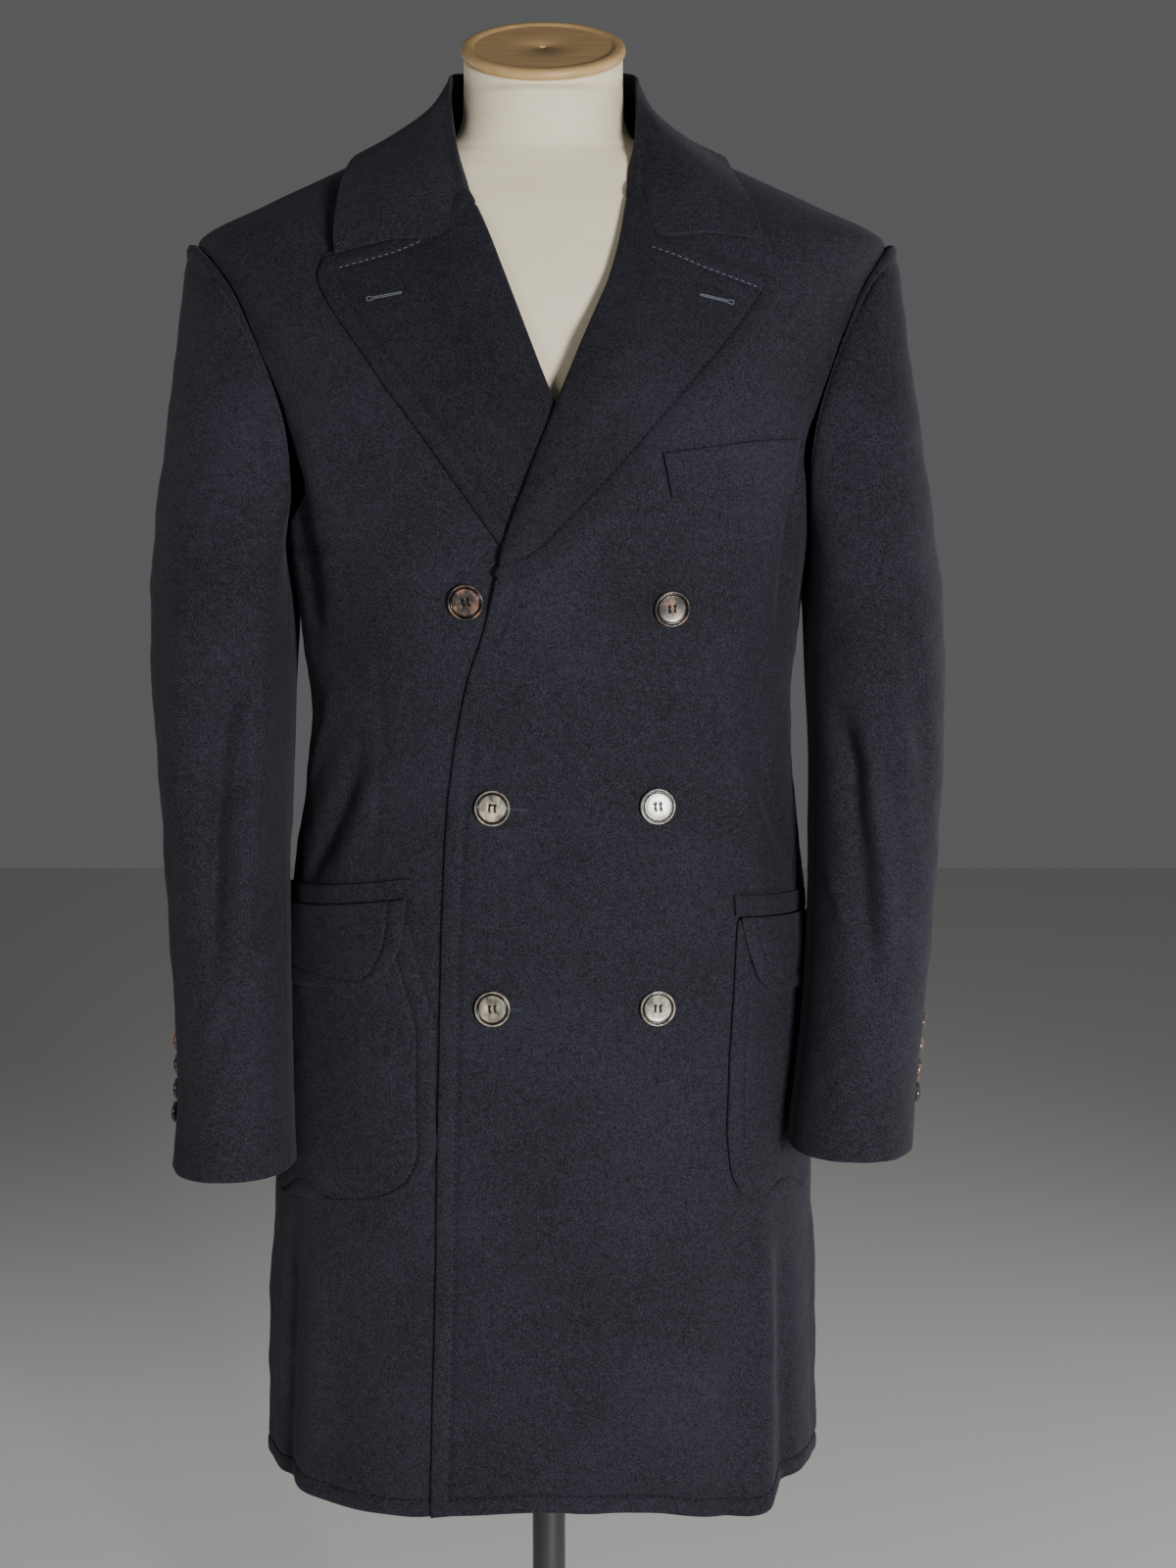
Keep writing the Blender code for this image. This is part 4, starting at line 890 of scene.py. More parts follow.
# %% Stand and fall
COLLAR = np.array([
    # foot of the stand x, y, z, fold x, y, z, upper fall x, y, z, lower fall x, y, z, edge x, y, z
    (-0.0500, -0.0670, 1.4440, -0.0545, -0.0742, 1.4440, -0.0672, -0.0965, 1.4150,
     -0.1040, -0.0985, 1.4095, -0.1415, -0.0950, 1.4005),
    (-0.0555, -0.0560, 1.4610, -0.0600, -0.0600, 1.4720, -0.0760, -0.0800, 1.4520,
     -0.1120, -0.0905, 1.4300, -0.1430, -0.0895, 1.4170),
    (-0.0615, -0.0420, 1.4770, -0.0635, -0.0410, 1.4980, -0.0820, -0.0630, 1.4760,
     -0.1160, -0.0740, 1.4530, -0.1415, -0.0740, 1.4400),
    (-0.0680, -0.0240, 1.4895, -0.0660, -0.0170, 1.5220, -0.0820, -0.0345, 1.5010,
     -0.1110, -0.0460, 1.4790, -0.1385, -0.0480, 1.4630),
    (-0.0725, 0.0040, 1.4950, -0.0665, 0.0110, 1.5360, -0.0810, 0.0050, 1.5140,
     -0.1050, 0.0020, 1.4955, -0.1320, 0.0000, 1.4805),
    (-0.0660, 0.0330, 1.4960, -0.0590, 0.0380, 1.5430, -0.0720, 0.0440, 1.5200,
     -0.0900, 0.0500, 1.4990, -0.1130, 0.0540, 1.4830),
    (-0.0370, 0.0550, 1.4960, -0.0340, 0.0565, 1.5470, -0.0410, 0.0680, 1.5240,
     -0.0490, 0.0780, 1.4990, -0.0600, 0.0840, 1.4780),
    (0.0000, 0.0605, 1.4960, 0.0000, 0.0620, 1.5480, 0.0000, 0.0745, 1.5250,
     0.0000, 0.0850, 1.5000, 0.0000, 0.0905, 1.4770),
    (0.0360, 0.0550, 1.4960, 0.0330, 0.0565, 1.5470, 0.0400, 0.0680, 1.5240,
     0.0480, 0.0780, 1.4990, 0.0585, 0.0840, 1.4780),
    (0.0635, 0.0330, 1.4960, 0.0565, 0.0380, 1.5430, 0.0690, 0.0440, 1.5200,
     0.0865, 0.0500, 1.4980, 0.1085, 0.0540, 1.4830),
    (0.0700, 0.0040, 1.4950, 0.0632, 0.0110, 1.5345, 0.0760, 0.0050, 1.5120,
     0.0990, 0.0020, 1.4925, 0.1260, 0.0000, 1.4790),
    (0.0670, -0.0240, 1.4890, 0.0630, -0.0170, 1.5200, 0.0790, -0.0330, 1.4990,
     0.1060, -0.0440, 1.4760, 0.1320, -0.0450, 1.4600),
    (0.0625, -0.0420, 1.4760, 0.0630, -0.0410, 1.4970, 0.0830, -0.0600, 1.4760,
     0.1120, -0.0720, 1.4540, 0.1395, -0.0720, 1.4415),
    (0.0575, -0.0545, 1.4625, 0.0628, -0.0560, 1.4760, 0.0810, -0.0740, 1.4540,
     0.1120, -0.0880, 1.4340, 0.1450, -0.0870, 1.4260),
    (0.0560, -0.0640, 1.4450, 0.0612, -0.0700, 1.4470, 0.0750, -0.0950, 1.4155,
     0.1115, -0.0990, 1.4140, 0.1475, -0.0965, 1.4105)])
PATH_KNOTS = np.array([0.0, 0.11, 0.20, 0.24, 0.27, 0.46, 0.72, 1.0])


def collar():
    """Through each station, a curve from the foot up to the fold, over it, and down the fall."""
    keyed = np.column_stack([np.arange(len(COLLAR), dtype=float), COLLAR])
    stations = np.linspace(0, len(COLLAR) - 1, 400)
    spine = np.stack([smooth(keyed, 13 + i, stations) for i in range(3)], axis=-1)
    run = run_along(spine[None], 1)[0]
    at = np.interp(across_row(run[-1], 0.0034, NEAR, NEAR)[0], run, stations)
    foot, fold, upper, lower, edge = (
        np.stack([smooth(keyed, k + 1 + i, at) for i in range(3)], axis=-1) for k in (0, 3, 6, 9, 12))
    out = unit(edge - fold)
    knots = np.stack([foot, foot * 0.5 + fold * 0.5, foot * 0.14 + fold * 0.86,
                      fold + out * 0.0016 + (0, 0, 0.0012), fold + out * 0.0040, upper, lower, edge], axis=1)
    length = np.linalg.norm(np.diff(knots, axis=1), axis=-1).sum(axis=1).mean()
    path = across_row(length, 0.0027, SOFT, NEAR)[0] / length
    inside = np.stack([
        np.stack([smooth(np.column_stack([PATH_KNOTS, station[:, i]]), 1, path) for i in range(3)], axis=-1)
        for station in knots], axis=1)
    normal = -grid_normal(inside)
    inside, normal = inside[::-1], normal[::-1]
    piece, outer = cloth("collar_cloth", inside, normal, WOOL, ("low", "first", "last"))
    row = stitch_rows("collar_stitches", stitch_lines(outer, normal, ("low",)), THREAD)
    worn(piece, "collar", "wool", row)
    cut_from(piece, inside)


collar()

# %% [markdown]
# ## Pockets, flaps, straps and the chest welt
#
# These are patches laid on the fronts. Each outline is a short table of heights with the edge toward
# the front and the edge toward the side, and its surface is the front's own, moved out by a layer.

# %% Patches on the fronts
PATCHES = {
    # height, front x, side angle
    "right_pocket": ((0.748, -0.1330, 60.0), (0.753, -0.1080, 66.0), (0.763, -0.0880, 70.0),
                     (0.779, -0.0765, 72.0), (0.820, -0.0750, 73.0), (0.868, -0.0745, 73.0),
                     (0.910, -0.0845, 73.0), (0.945, -0.0925, 73.0)),
    "left_pocket": ((0.744, 0.1480, 60.0), (0.749, 0.1380, 66.0), (0.762, 0.1290, 70.0),
                    (0.779, 0.1255, 72.0), (0.805, 0.1240, 73.0), (0.850, 0.1255, 73.0),
                    (0.910, 0.1290, 73.0), (0.945, 0.1310, 73.0)),
    "right_pocket_flap": ((0.9010, -0.1230, 71.0), (0.9035, -0.1165, 73.0), (0.9230, -0.1000, 74.0),
                          (0.9620, -0.0930, 74.0)),
    "left_pocket_flap": ((0.8930, 0.1560, 71.0), (0.8955, 0.1510, 73.0), (0.9180, 0.1390, 74.0),
                         (0.9470, 0.1315, 74.0)),
    "right_pocket_strap": ((0.9630, -0.0915, 73.0), (0.9760, -0.0905, 73.0)),
    "left_pocket_strap": ((0.9480, 0.1290, 73.0), (0.9620, 0.1280, 73.0))}
SLOPE = {"right": 0.16, "left": 0.09}   # fall of the pockets toward the side, per metre across


def patch(node, stitched):
    """A grid of angles between the two edges at each height, sloped with the pocket."""
    table, word = np.array(PATCHES[node]), node.split("_")[0]
    side = 1 if word == "left" else -1
    tall = table[-1, 0] - table[0, 0]
    heights = table[0, 0] + across_row(tall, 0.0035, NEAR if "low" in stitched else SOFT, SOFT)[0]
    front = angle_at(smooth(table, 1, heights), heights)
    outer_edge = side * smooth(table, 2, heights)
    first, last = (outer_edge, front) if side < 0 else (front, outer_edge)
    low, high = (SOFT, NEAR) if side < 0 else (NEAR, SOFT)
    angle = angles_over(first, last, heights, 0.0036, low, high)
    height = heights[:, None] + 0 * angle
    across = np.abs(body(angle, height)[..., 0])
    height = height - SLOPE[word] * (across - across.min(axis=1, keepdims=True))
    x = body(angle, height)[..., 0]
    flap = "flap" in node
    more = (CLOTH + LAID if flap else 0.0) + 0.0012 * flap * np.exp(-(height - height.min()) / 0.012)
    lift = CLOTH + 1.4 * LAID + more + (overlap_lift(x, height) if side > 0 else 0 * x)
    inner, normal = on_body(angle, height, lift)
    named = node.replace("_pocket_", "_") if flap or "strap" in node else node
    piece, face = cloth(f"{named}_cloth", inner, normal, WOOL, stitched)
    extra = []
    if stitched:
        extra.append(stitch_rows(f"{named}_stitches", stitch_lines(face, normal, stitched), THREAD))
    worn(piece, node, "wool", *extra)
    cut_from(piece, inner)


for word, edge in (("right", "last"), ("left", "first")):
    patch(f"{word}_pocket", (edge, "low"))
    patch(f"{word}_pocket_flap", (edge, "low"))
    patch(f"{word}_pocket_strap", ())

# %% The chest welt
WELT = np.array([
    # x, lower height, upper height
    (0.0850, 1.2365, 1.2660), (0.1020, 1.2378, 1.2685), (0.1250, 1.2392, 1.2720),
    (0.1500, 1.2405, 1.2755), (0.1745, 1.2400, 1.2770)])


def welt():
    """A short band between two gently rising lines."""
    along = across_row(WELT[-1, 0] - WELT[0, 0], 0.0028, SOFT, SOFT)[0]
    up = (across_row(0.030, 0.0024, SOFT, SOFT)[0] / 0.030)[:, None]
    x = WELT[0, 0] + along
    z = smooth(WELT, 1, x) * (1 - up) + smooth(WELT, 2, x) * up
    x = x[None, :] - 0.006 * up * (1 - along / along[-1])
    inner, normal = on_body(angle_at(x, z), z, overlap_lift(x, z) + CLOTH + 1.8 * LAID)
    piece, _ = cloth("chest_welt_cloth", inner, normal, WOOL)
    worn(piece, "breast_welt", "wool")
    cut_from(piece, inner)


welt()

# %% [markdown]
# ## Buttonholes
#
# Each is a slit bound with close purl stitches. The bound edge is a ribbed band laid round a long
# loop: a tube whose thickness ripples, one ripple to each stitch.

# %% Bound slits
ON_LAPEL = 2 * CLOTH + 1.5 * LAID + 0.0003
HOLES = (
    # name, start x, height, end x, height, front, lift of the layers under it, eyelet, thread
    ("buttonhole_top", -0.0162, 1.1644, -0.0104, 1.1646, "left", CLOTH - 0.0002, 0.0, THREAD),
    ("buttonhole_middle", -0.0290, 1.0248, -0.0120, 1.0240, "left", CLOTH, 0.0, BOUND_THREAD),
    ("buttonhole_bottom", -0.0290, 0.8886, -0.0160, 0.8882, "left", CLOTH, 0.0, BOUND_THREAD),
    ("bar_tack_top", -0.0096, 1.1628, -0.0100, 1.1664, "left", CLOTH, 0.0, BOUND_THREAD),
    ("bar_tack_middle", -0.0116, 1.0220, -0.0118, 1.0258, "left", CLOTH, 0.0, BOUND_THREAD),
    ("bar_tack_bottom", -0.0156, 0.8864, -0.0158, 0.8900, "left", CLOTH, 0.0, BOUND_THREAD),
    ("lapel_keyhole_right", -0.0945, 1.3716, -0.1180, 1.3676, "right", ON_LAPEL, 0.0011, BRIGHT_THREAD),
    ("lapel_keyhole_left", 0.1045, 1.3704, 0.1270, 1.3657, "left", ON_LAPEL, 0.0011, BRIGHT_THREAD))


def bound_slit(name, x0, z0, x1, z1, front, stand, eyelet, thread):
    """A closed tube along a stadium: two straights 1.1 mm apart joined by half circles, wider at
    an eyelet by eyelet * exp(-(distance from its end / 1.8 mm)^2)."""
    steps, sides = 240, 8
    turn = np.linspace(0, 2 * np.pi, steps + 1)[:-1]
    half = math.hypot(x1 - x0, z1 - z0) / 2
    along = np.clip(np.cos(turn) * 1.15, -1, 1) * half
    swell = eyelet * np.exp(-((half - 0.0016 - along) / 0.0018) ** 2)
    wide = (0.00055 + swell) * np.sign(np.sin(turn)) * np.abs(np.sin(turn)) ** 0.5
    ux, uz = (x1 - x0) / (2 * half), (z1 - z0) / (2 * half)
    x = (x0 + x1) / 2 + along * ux - wide * uz
    z = (z0 + z1) / 2 + along * uz + wide * ux
    spot, normal = on_body(angle_at(x, z), z, front_lift(x, z, front == "left") + stand)
    ahead = unit(np.roll(spot, -1, axis=0) - np.roll(spot, 1, axis=0))
    side = unit(np.cross(normal, ahead))
    thick = 0.00036 * (1 + 0.16 * np.sin(turn * 46))
    tube = np.linspace(0, 2 * np.pi, sides + 1)[:-1]
    points = (spot[:, None] + side[:, None] * (thick[:, None] * np.cos(tube))[..., None]
              + normal[:, None] * (thick[:, None] * np.sin(tube))[..., None])
    index = np.arange(steps * sides).reshape(steps, sides)
    ring, step = np.roll(index, -1, axis=0), np.roll(index, -1, axis=1)
    quads = np.stack([index, ring, np.roll(ring, -1, axis=1), step], axis=-1).reshape(-1, 4)
    made = surface(name, points.reshape(-1, 3), quads, thread)
    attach(made, "root")


for hole in HOLES:
    bound_slit(*hole)
print("buttonholes:", len(HOLES))

# %% [markdown]
# ## Horn buttons
#
# A coat button is turned on a lathe: a rounded rim, a groove inside it and a dished face, then four
# holes are drilled. One grid of radii and turns gives the turned shape, and four smooth dips in its
# height make the holes, so no cutting tool is needed. Its place and direction come from the plain
# button that it stands for.

# %% Turned buttons and their thread
def horn(name, dark, middle, pale):
    """Polished horn: streaks and clouds, darker in the turned groove, paler on the rim."""
    made = Finish(name, Roughness=0.24, Coat_Weight=0.25, Coat_Roughness=0.12)
    ring = made.put("ShaderNodeAttribute", {"attribute_name": "ring"}, {}, 2)
    streaks = made.noise(210.0, 4.0, 0.6, made.stretched((1.0, 0.35, 0.7))) - 0.5
    clouding = made.noise(75.0, 2.0) - 0.5
    tone = made.put("ShaderNodeValToRGB", {"stops": ((0.15, dark), (0.52, middle), (0.85, pale))},
                    {"Fac": streaks * 1.5 + clouding * 1.5 + 0.52})
    # The turned groove is made nearly black and the rim is kept at full tone, by each point's share of the
    # radius.
    groove_tone = (0.05, 0.045, 0.04)
    shade = made.put("ShaderNodeValToRGB", {"stops": (
        (0.00, (1, 1, 1)), (0.72, (0.85, 0.85, 0.85)), (0.78, groove_tone), (0.875, groove_tone), (0.92, (1, 1, 1)))},
                     {"Fac": ring})
    made.feed("Base Color", made.put("ShaderNodeMix", {"data_type": "RGBA", "blend_type": "MULTIPLY"},
                                     {0: 1.0, 6: tone, 7: shade}, 2))
    made.bump(streaks, 0.12, 0.0002)
    return made.material


BROWN_HORN = horn("brown_horn", (0.014, 0.011, 0.010), (0.065, 0.052, 0.045), (0.34, 0.17, 0.10))
PALE_HORN = horn("pale_horn", (0.085, 0.075, 0.060), (0.270, 0.245, 0.195), (0.60, 0.52, 0.40))

PROFILE = np.array([
    # share of the radius, share of the thickness
    (0.00, 0.72), (0.30, 0.72), (0.60, 0.75), (0.74, 0.78), (0.79, 0.58), (0.83, 0.48), (0.87, 0.60),
    (0.91, 0.92), (0.95, 1.00), (0.985, 0.86), (1.00, 0.60)])
HOLE_X, HOLE_Y = 0.150, 0.180   # from the centre, as shares of the radius


def placed(node):
    """Centre, direction and base of a plain button: the direction is its thinnest, by SVD."""
    points = np.array([v.co[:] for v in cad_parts[node].data.vertices])
    centre = (points.min(axis=0) + points.max(axis=0)) / 2
    axis = np.linalg.svd(points - points.mean(axis=0), full_matrices=False)[2][2]
    outward = centre * (1, 1, 0)
    axis = axis * np.sign(axis @ outward)
    depth = (points - centre) @ axis
    return centre + axis * depth.min(), axis


def basis(axis, spin=0.0):
    """Right, up and out directions on a button's face, turned by spin."""
    right = unit(np.cross((0, 0, 1.0), axis))
    up = np.cross(axis, right)
    c, s = math.cos(spin), math.sin(spin)
    return np.stack([right * c + up * s, up * c - right * s, axis])


def turned_button(name, node, across, thick, spin, finish, turns=96):
    """The profile carried round, less four dips of 0.42 * (1 - ease(distance from a hole's rim)).
    Each point keeps its share of the radius, by which the finish knows the groove."""
    base, axis = placed(node)
    axes = basis(axis, spin)
    base = base - axis * 0.0003
    r = np.concatenate([np.linspace(0.004, 0.36, 26), np.linspace(0.40, 0.92, 22), (0.95, 0.975, 0.99, 1.0)])
    turn = np.linspace(0, 2 * np.pi, turns, endpoint=False)
    high = smooth(PROFILE, 1, r)[:, None] + 0 * turn
    x, y = r[:, None] * np.cos(turn), r[:, None] * np.sin(turn)
    for sx in (-1, 1):
        for sy in (-1, 1):
            away = np.hypot(x - HOLE_X * sx, y - HOLE_Y * sy)
            high = high - 0.42 * (1 - ease((away - 0.070) / 0.030))
    top = np.stack([x * across / 2, y * across / 2, high * thick], axis=-1)
    rim = np.array([(1.0, 0.42), (0.985, 0.28), (0.93, 0.14), (0.80, 0.03), (0.50, 0.0), (0.004, 0.0)])
    under = np.stack([rim[:, :1] * np.cos(turn) * across / 2, rim[:, :1] * np.sin(turn) * across / 2,
                      rim[:, 1:] * thick + 0 * turn], axis=-1)
    grid = np.concatenate([top, under])
    count = len(grid)
    index = np.arange(count * turns).reshape(count, turns)
    beside = np.roll(index, -1, axis=1)
    quads = np.stack([index[:-1], index[1:], beside[1:], beside[:-1]], axis=-1).reshape(-1, 4)
    k = np.arange(0, turns // 2 - 1)
    first, last = index[0], index[-1]
    cap_top = np.stack([first[k], first[k + 1], first[-k - 2], first[-k - 1]], axis=-1)
    cap_low = np.stack([last[-k - 1], last[-k - 2], last[k + 1], last[k]], axis=-1)
    made = surface(name, grid.reshape(-1, 3) @ axes + base, np.concatenate([quads, cap_top, cap_low]),
                   finish)
    ring = np.broadcast_to(np.concatenate([r, rim[:, 0]])[:, None], (count, turns))
    kept = made.data.attributes.new("ring", "FLOAT", "POINT")
    kept.data.foreach_set("value", ring.astype(np.float32).ravel())
    worn(made, node, "horn")
    return base, axes


def thread_bar(name, base, axes, across, thick, x0, y0, x1, y1):
    """A thin tube that rises out of one hole, over the face and down into the next."""
    steps, sides = 17, 10
    t = np.linspace(0, 1, steps)
    rise = thick * (0.46 + 0.36 * np.sin(np.pi * t) ** 0.45)
    path = np.stack([(x0 + (x1 - x0) * t) * across / 2, (y0 + (y1 - y0) * t) * across / 2, rise], axis=-1)
    ahead = unit(np.gradient(path, axis=0))
    side = unit(np.cross(ahead, (0, 0, 1.0)))
    up = np.cross(side, ahead)
    turn = np.linspace(0, 2 * np.pi, sides, endpoint=False)
    radius = 0.026 * across * np.where((t == 0) | (t == 1), 0.4, 1.0)
    points = (path[:, None] + side[:, None] * (radius[:, None] * np.cos(turn))[..., None]
              + up[:, None] * (radius[:, None] * np.sin(turn))[..., None])
    index = np.arange(steps * sides).reshape(steps, sides)
    beside = np.roll(index, -1, axis=1)
    quads = np.stack([index[:-1], beside[:-1], beside[1:], index[1:]], axis=-1).reshape(-1, 4)
    k = np.arange(sides // 2 - 1)
    caps = [np.stack([e[k], e[k + 1], e[-k - 2], e[-k - 1]], axis=-1) for e in (index[0], index[-1][::-1])]
    faces = np.concatenate([quads[:, ::-1], *caps])
    made = surface(name, points.reshape(-1, 3) @ axes + base, faces, DARK_THREAD)
    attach(made, "root")


BUTTON_ACROSS, BUTTON_THICK = 0.0245, 0.0042
CUFF_BUTTON_ACROSS, CUFF_BUTTON_THICK = 0.0155, 0.0034
SPINS = {"top_right": 0.22, "top_left": 0.05, "middle_right": -0.08, "middle_left": 0.04,
         "bottom_right": 0.10, "bottom_left": -0.05}
for key, spin in SPINS.items():
    finish = BROWN_HORN if key.startswith("top") else PALE_HORN
    base, axes = turned_button(f"coat_button_{key}", f"button_{key}",
                               BUTTON_ACROSS, BUTTON_THICK, spin, finish)
    bars = [(-HOLE_X, -HOLE_Y, -HOLE_X, HOLE_Y), (HOLE_X, -HOLE_Y, HOLE_X, HOLE_Y)]
    if key == "middle_right":
        bars.append((-HOLE_X, HOLE_Y, HOLE_X, HOLE_Y))
    for number, bar in enumerate(bars, start=1):
        thread_bar(f"thread_{key}_{number}", base, axes, BUTTON_ACROSS, BUTTON_THICK, *bar)
for word in ("right", "left"):
    for number in range(1, 5):
        turned_button(f"cuff_button_{word}_{number}", f"sleeve_button_{word}_{number}",
                      CUFF_BUTTON_ACROSS, CUFF_BUTTON_THICK, 0.3 * number, BROWN_HORN, turns=48)
print("buttons turned:", len(SPINS) + 8)

# %% [markdown]
# ## The dress form, its cap and its stand
#
# The form is linen stretched over a shell: smooth, without limbs, its neck closed by a slanted
# wooden cap. It repeats the coat's own girths, drawn in where the coat hangs clear of it, so it
# fills the shoulders without ever coming through.

# %% Linen form
LINEN = Finish("natural_linen", Roughness=0.85, Sheen_Weight=0.08)
warp = LINEN.noise(1.0, 2.0, 0.5, LINEN.stretched((1500.0, 1500.0, 130.0)))
weft = LINEN.noise(1.0, 2.0, 0.5, LINEN.stretched((130.0, 130.0, 1500.0)))
slubs = LINEN.noise(38.0, 3.0)
LINEN.feed("Base Color", LINEN.mix(warp * 0.4 + weft * 0.4 + slubs * 0.3 - 0.05,
                                   (0.62, 0.53, 0.36, 1.0), (0.90, 0.81, 0.62, 1.0)))
LINEN.bump(warp * 0.5 + weft * 0.5, 0.4, 0.0004)

FORM = np.array([
    # height, drawn in at the sides, front, back
    (0.780, 0.052, 0.045, 0.036), (0.860, 0.030, 0.026, 0.018), (0.950, 0.024, 0.020, 0.014),
    (1.060, 0.022, 0.018, 0.012), (1.160, 0.018, 0.014, 0.012), (1.250, 0.024, 0.011, 0.010),
    (1.340, 0.040, 0.010, 0.008), (1.390, 0.047, 0.008, 0.006), (1.416, 0.045, 0.006, 0.004),
    (1.428, 0.0200, 0.005, 0.0025), (1.440, 0.0032, 0.004, 0.0020), (1.466, 0.0022, 0.003, 0.0015)])
NECK_BASE = np.array([
    # height, half width, half depth
    (1.4780, 0.0850, 0.0500), (1.4880, 0.0660, 0.0505), (1.4990, 0.0590, 0.0520), (1.5180, 0.0568, 0.0525),
    (1.5300, 0.0565, 0.0520)])
CAP_TILT = math.radians(28.0)
NECK_RADIUS = 0.0565
NECK_X, NECK_Y = -0.0018, 0.002   # the neck stands a little off the middle
NECK_TOP, CAP_MIDDLE = 1.518, 1.548
AROUND_FORM = 96


def closed_rings(name, rings, mat):
    """A closed skin over rings that run upward, with a fan at each end."""
    count, turns = rings.shape[:2]
    index = np.arange(count * turns).reshape(count, turns)
    beside = np.roll(index, -1, axis=1)
    quads = np.stack([index[:-1], beside[:-1], beside[1:], index[1:]], axis=-1).reshape(-1, 4)
    points = np.concatenate([rings.reshape(-1, 3), [rings[0].mean(axis=0)], [rings[-1].mean(axis=0)]])
    low, high = count * turns, count * turns + 1
    fans = [(low, b, a) for a, b in zip(index[0], beside[0])]
    fans += [(high, a, b) for a, b in zip(index[-1], beside[-1])]
    mesh = bpy.data.meshes.new(name)
    mesh.from_pydata(points.tolist(), [], quads.tolist() + fans)
    mesh.polygons.foreach_set("use_smooth", np.ones(len(mesh.polygons), bool))
    mesh.materials.append(mat)
    mesh.update()
    made = bpy.data.objects.new(name, mesh)
    bpy.context.scene.collection.objects.link(made)
    return made


def form_rings():
    """The coat's section at each height, drawn in by shares that differ at sides, front and back."""
    around = np.linspace(0, 360, AROUND_FORM, endpoint=False)
    rings = []
    for height in np.concatenate([np.linspace(0.790, 1.400, 62), np.linspace(1.406, 1.466, 16)]):
        point = body(around, np.full(AROUND_FORM, height))
        side, front, back = (smooth(FORM, k, height) for k in (1, 2, 3))
        wide = np.where(point[:, 0] < 0, smooth(BODY, 1, height), smooth(BODY, 2, height))
        deep = np.where(point[:, 1] < 0, smooth(BODY, 3, height), smooth(BODY, 4, height))
        draw = np.where(point[:, 1] < 0, front, back)
        rings.append(point * np.stack([1 - side / wide, 1 - draw / deep, 1 + 0 * wide], axis=-1))
    angle = np.radians(around)
    flat = np.stack([np.sin(angle), -np.cos(angle), 0 * angle], axis=-1)
    for height in np.linspace(1.478, NECK_TOP, 12):
        rings.append(flat * (smooth(NECK_BASE, 1, height), smooth(NECK_BASE, 2, height), 0)
                     + (NECK_X, NECK_Y, height))
    top = flat * (NECK_RADIUS, 0.95 * NECK_RADIUS, 0)
    rise = np.stack([0 * angle, 0 * angle, top[:, 1] * math.sin(CAP_TILT)], axis=-1)
    slant = top * (1, math.cos(CAP_TILT), 1) + rise
    for share in (0.35, 0.7, 1.0):
        level = NECK_TOP + (CAP_MIDDLE - NECK_TOP) * share
        rings.append(slant * (1, 1, share) + (NECK_X, NECK_Y, level))
    return np.stack(rings)


linen_form = closed_rings("linen_form", form_rings(), LINEN.material)
worn(linen_form, "form_torso", "linen")

# %% Wooden cap, pole and foot
WOOD = Finish("pale_wood", Roughness=0.5)
rings_of_wood = WOOD.noise(1.0, 4.0, 0.6, WOOD.stretched((26.0, 240.0, 90.0)))
WOOD.feed("Base Color", WOOD.mix(rings_of_wood * 1.5 - 0.25,
                                 (0.36, 0.22, 0.085, 1.0), (0.54, 0.36, 0.16, 1.0)))
WOOD.bump(rings_of_wood, 0.2, 0.0003)
PAINT = Finish("black_paint", Base_Color=(0.022, 0.022, 0.025, 1.0), Coat_Weight=0.15)
specks = PAINT.noise(900.0, 2.0)
PAINT.feed("Roughness", PAINT.noise(14.0, 3.0) * 0.25 + 0.28)
PAINT.bump(specks, 0.08, 0.0002)


def turned(name, node, slot, profile, base, axis, mat, turns=96):
    """A lathe: each pair is a radius and a height, carried round an axis."""
    turn = np.linspace(0, 2 * np.pi, turns, endpoint=False)
    profile = np.array(profile)
    rings = np.stack([profile[:, :1] * np.cos(turn), profile[:, :1] * np.sin(turn),
                      profile[:, 1:] + 0 * turn], axis=-1)
    made = closed_rings(name, rings @ basis(axis) + base, mat)
    worn(made, node, slot)
    return made


cap_up = np.array([0, -math.sin(CAP_TILT), math.cos(CAP_TILT)])
cap_base = np.array([NECK_X, NECK_Y, CAP_MIDDLE]) + cap_up * 0.0004
turned("wooden_cap", "neck_cap", "cap",
       ((0.054, 0), (0.0573, 0.0004), (0.0583, 0.0016), (0.0585, 0.0030), (0.0583, 0.0050), (0.0574, 0.0066),
        (0.0560, 0.0073), (0.0535, 0.0076), (0.0512, 0.0074), (0.0500, 0.0066), (0.0494, 0.0061),
        (0.0480, 0.0061), (0.030, 0.0061), (0.0034, 0.0061), (0.0026, 0.0056), (0.0024, 0.0030),
        (0.0006, 0.0028)),
       cap_base, cap_up, WOOD.material)
POLE_FOOT = 0.0323
UPRIGHT = np.array([0, 0.0001, 1.0]) / math.hypot(0.0001, 1)   # a hair off, so that it has a sideways
turned("stand_pole", "pole", "stand",
       ((0.0115, 0), (0.0125, 0.0010), (0.0125, 0.30), (0.0125, 0.7560), (0.0115, 0.7570)),
       np.array([0, 0, POLE_FOOT]), UPRIGHT, PAINT.material)
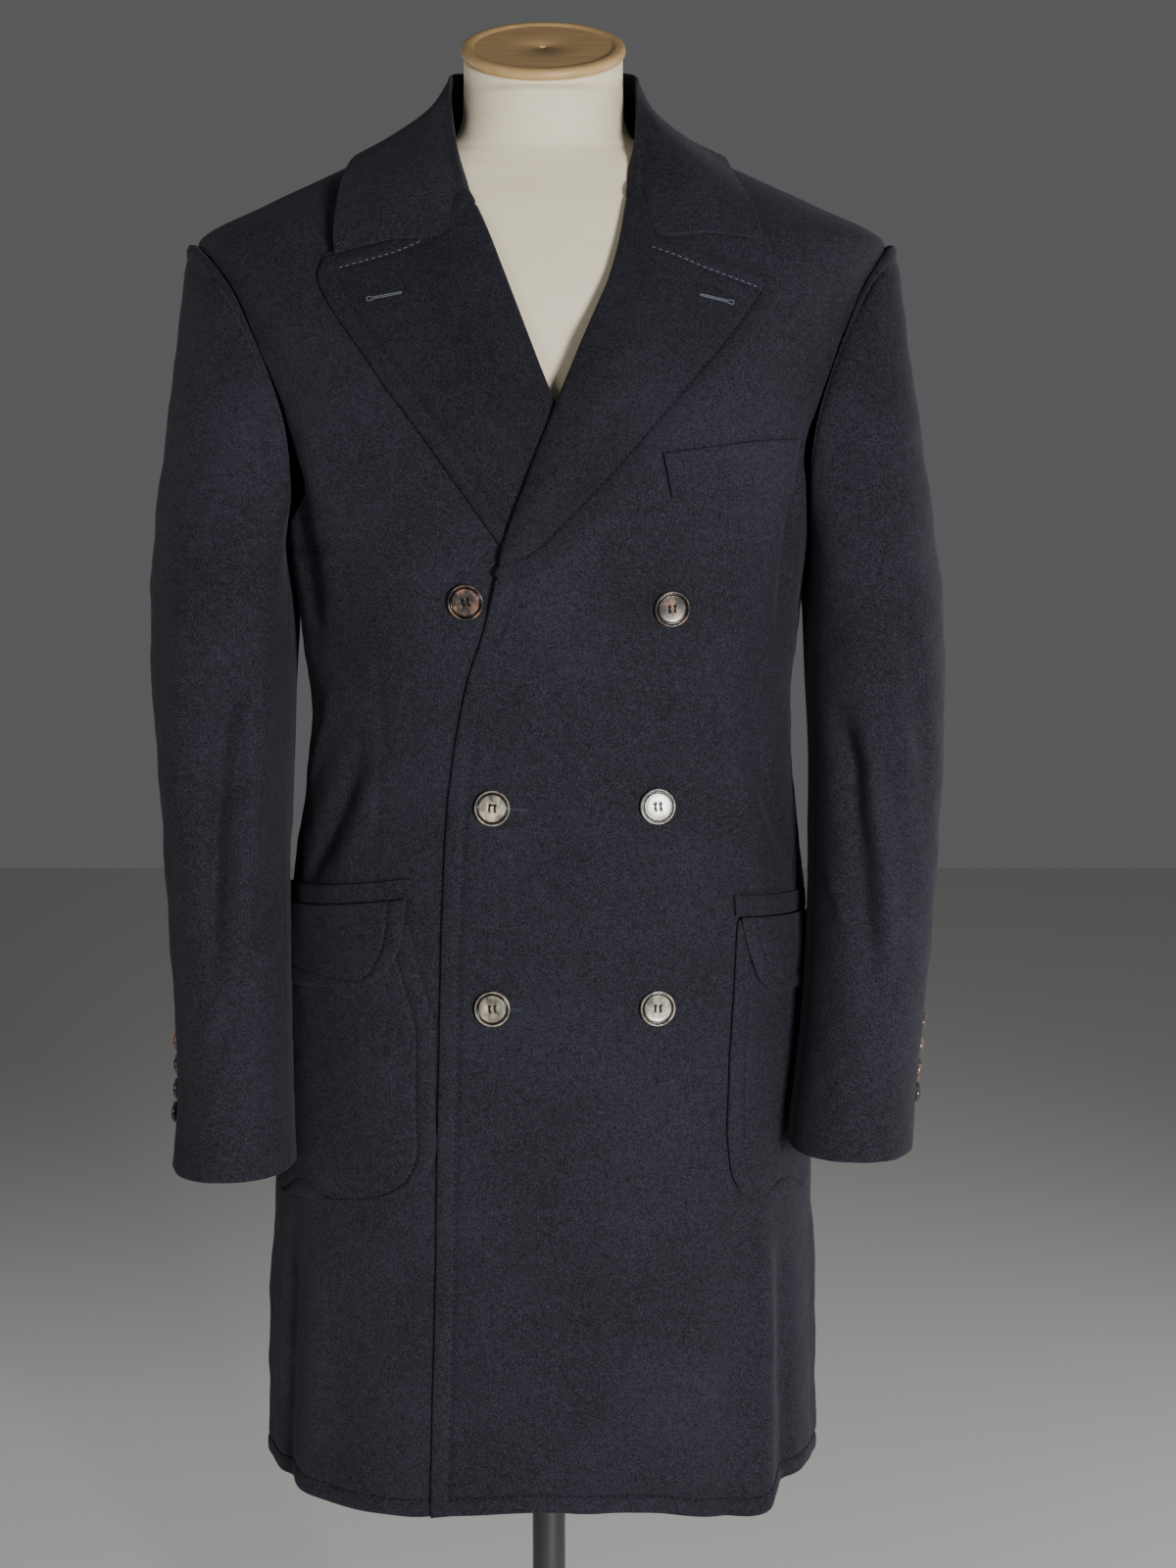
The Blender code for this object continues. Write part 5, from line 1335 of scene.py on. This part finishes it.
turned("stand_foot", "base", "stand",
       ((0.180, 0), (0.1845, 0.0008), (0.185, 0.0022), (0.185, 0.0090), (0.1842, 0.0115), (0.1820, 0.0140),
        (0.1780, 0.0160), (0.1500, 0.0175), (0.1000, 0.0200), (0.0600, 0.0222), (0.0400, 0.0250),
        (0.0270, 0.0290), (0.0240, 0.0308), (0.0220, 0.0320), (0.0100, 0.0320)),
       np.array([0, 0, 0.0]), UPRIGHT, PAINT.material, turns=128)
print("stand built")

# %% [markdown]
# ## Studio
#
# A pale floor and soft lights. The main one stands to the right at chest height, as light along the
# cloth brings out its folds and edges. A weak one fills from the left, and one behind each shoulder
# draws the outline of the dark cloth.

# %% Floor, lights and camera
FLOOR = Finish("pale_floor", Roughness=0.9, Base_Color=(0.74, 0.73, 0.71, 1.0)).material
floor = surface("floor", np.array([(-6, -6, 0), (6, -6, 0), (6, 6, 0), (-6, 6, 0)], float),
                np.array([[0, 1, 2, 3]]), FLOOR)


def soft_light(name, place, toward, size, power):
    """A square lamp turned to face a point."""
    data = bpy.data.lights.new(name, "AREA")
    data.shape, data.size, data.energy = "SQUARE", size, power
    lamp = bpy.data.objects.new(name, data)
    lamp.location = place
    lamp.rotation_euler = (Vector(toward) - Vector(place)).to_track_quat("-Z", "Y").to_euler()
    bpy.context.scene.collection.objects.link(lamp)


MIDDLE = (0, 0, 1.05)
soft_light("key_light", (0.92, -2.15, 1.05), MIDDLE, 0.45, 68)
soft_light("fill_light", (-1.2, -2.0, 1.5), MIDDLE, 0.8, 9)
soft_light("rim_left", (-1.9, 0.9, 1.6), MIDDLE, 1.0, 8)
soft_light("rim_right", (2.0, 0.6, 1.2), MIDDLE, 1.0, 18)
world = bpy.data.worlds.new("studio")
world.use_nodes = True
world.node_tree.nodes["Background"].inputs["Color"].default_value = (0.80, 0.81, 0.83, 1.0)
world.node_tree.nodes["Background"].inputs["Strength"].default_value = 0.13
bpy.context.scene.world = world

camera_data = bpy.data.cameras.new("camera")
camera_data.lens = 51.75
camera = bpy.data.objects.new("camera", camera_data)
camera.location = (0.03, -1.65, 1.23)
camera.rotation_euler = (math.radians(83.0), 0, 0)
bpy.context.scene.collection.objects.link(camera)
bpy.context.scene.camera = camera
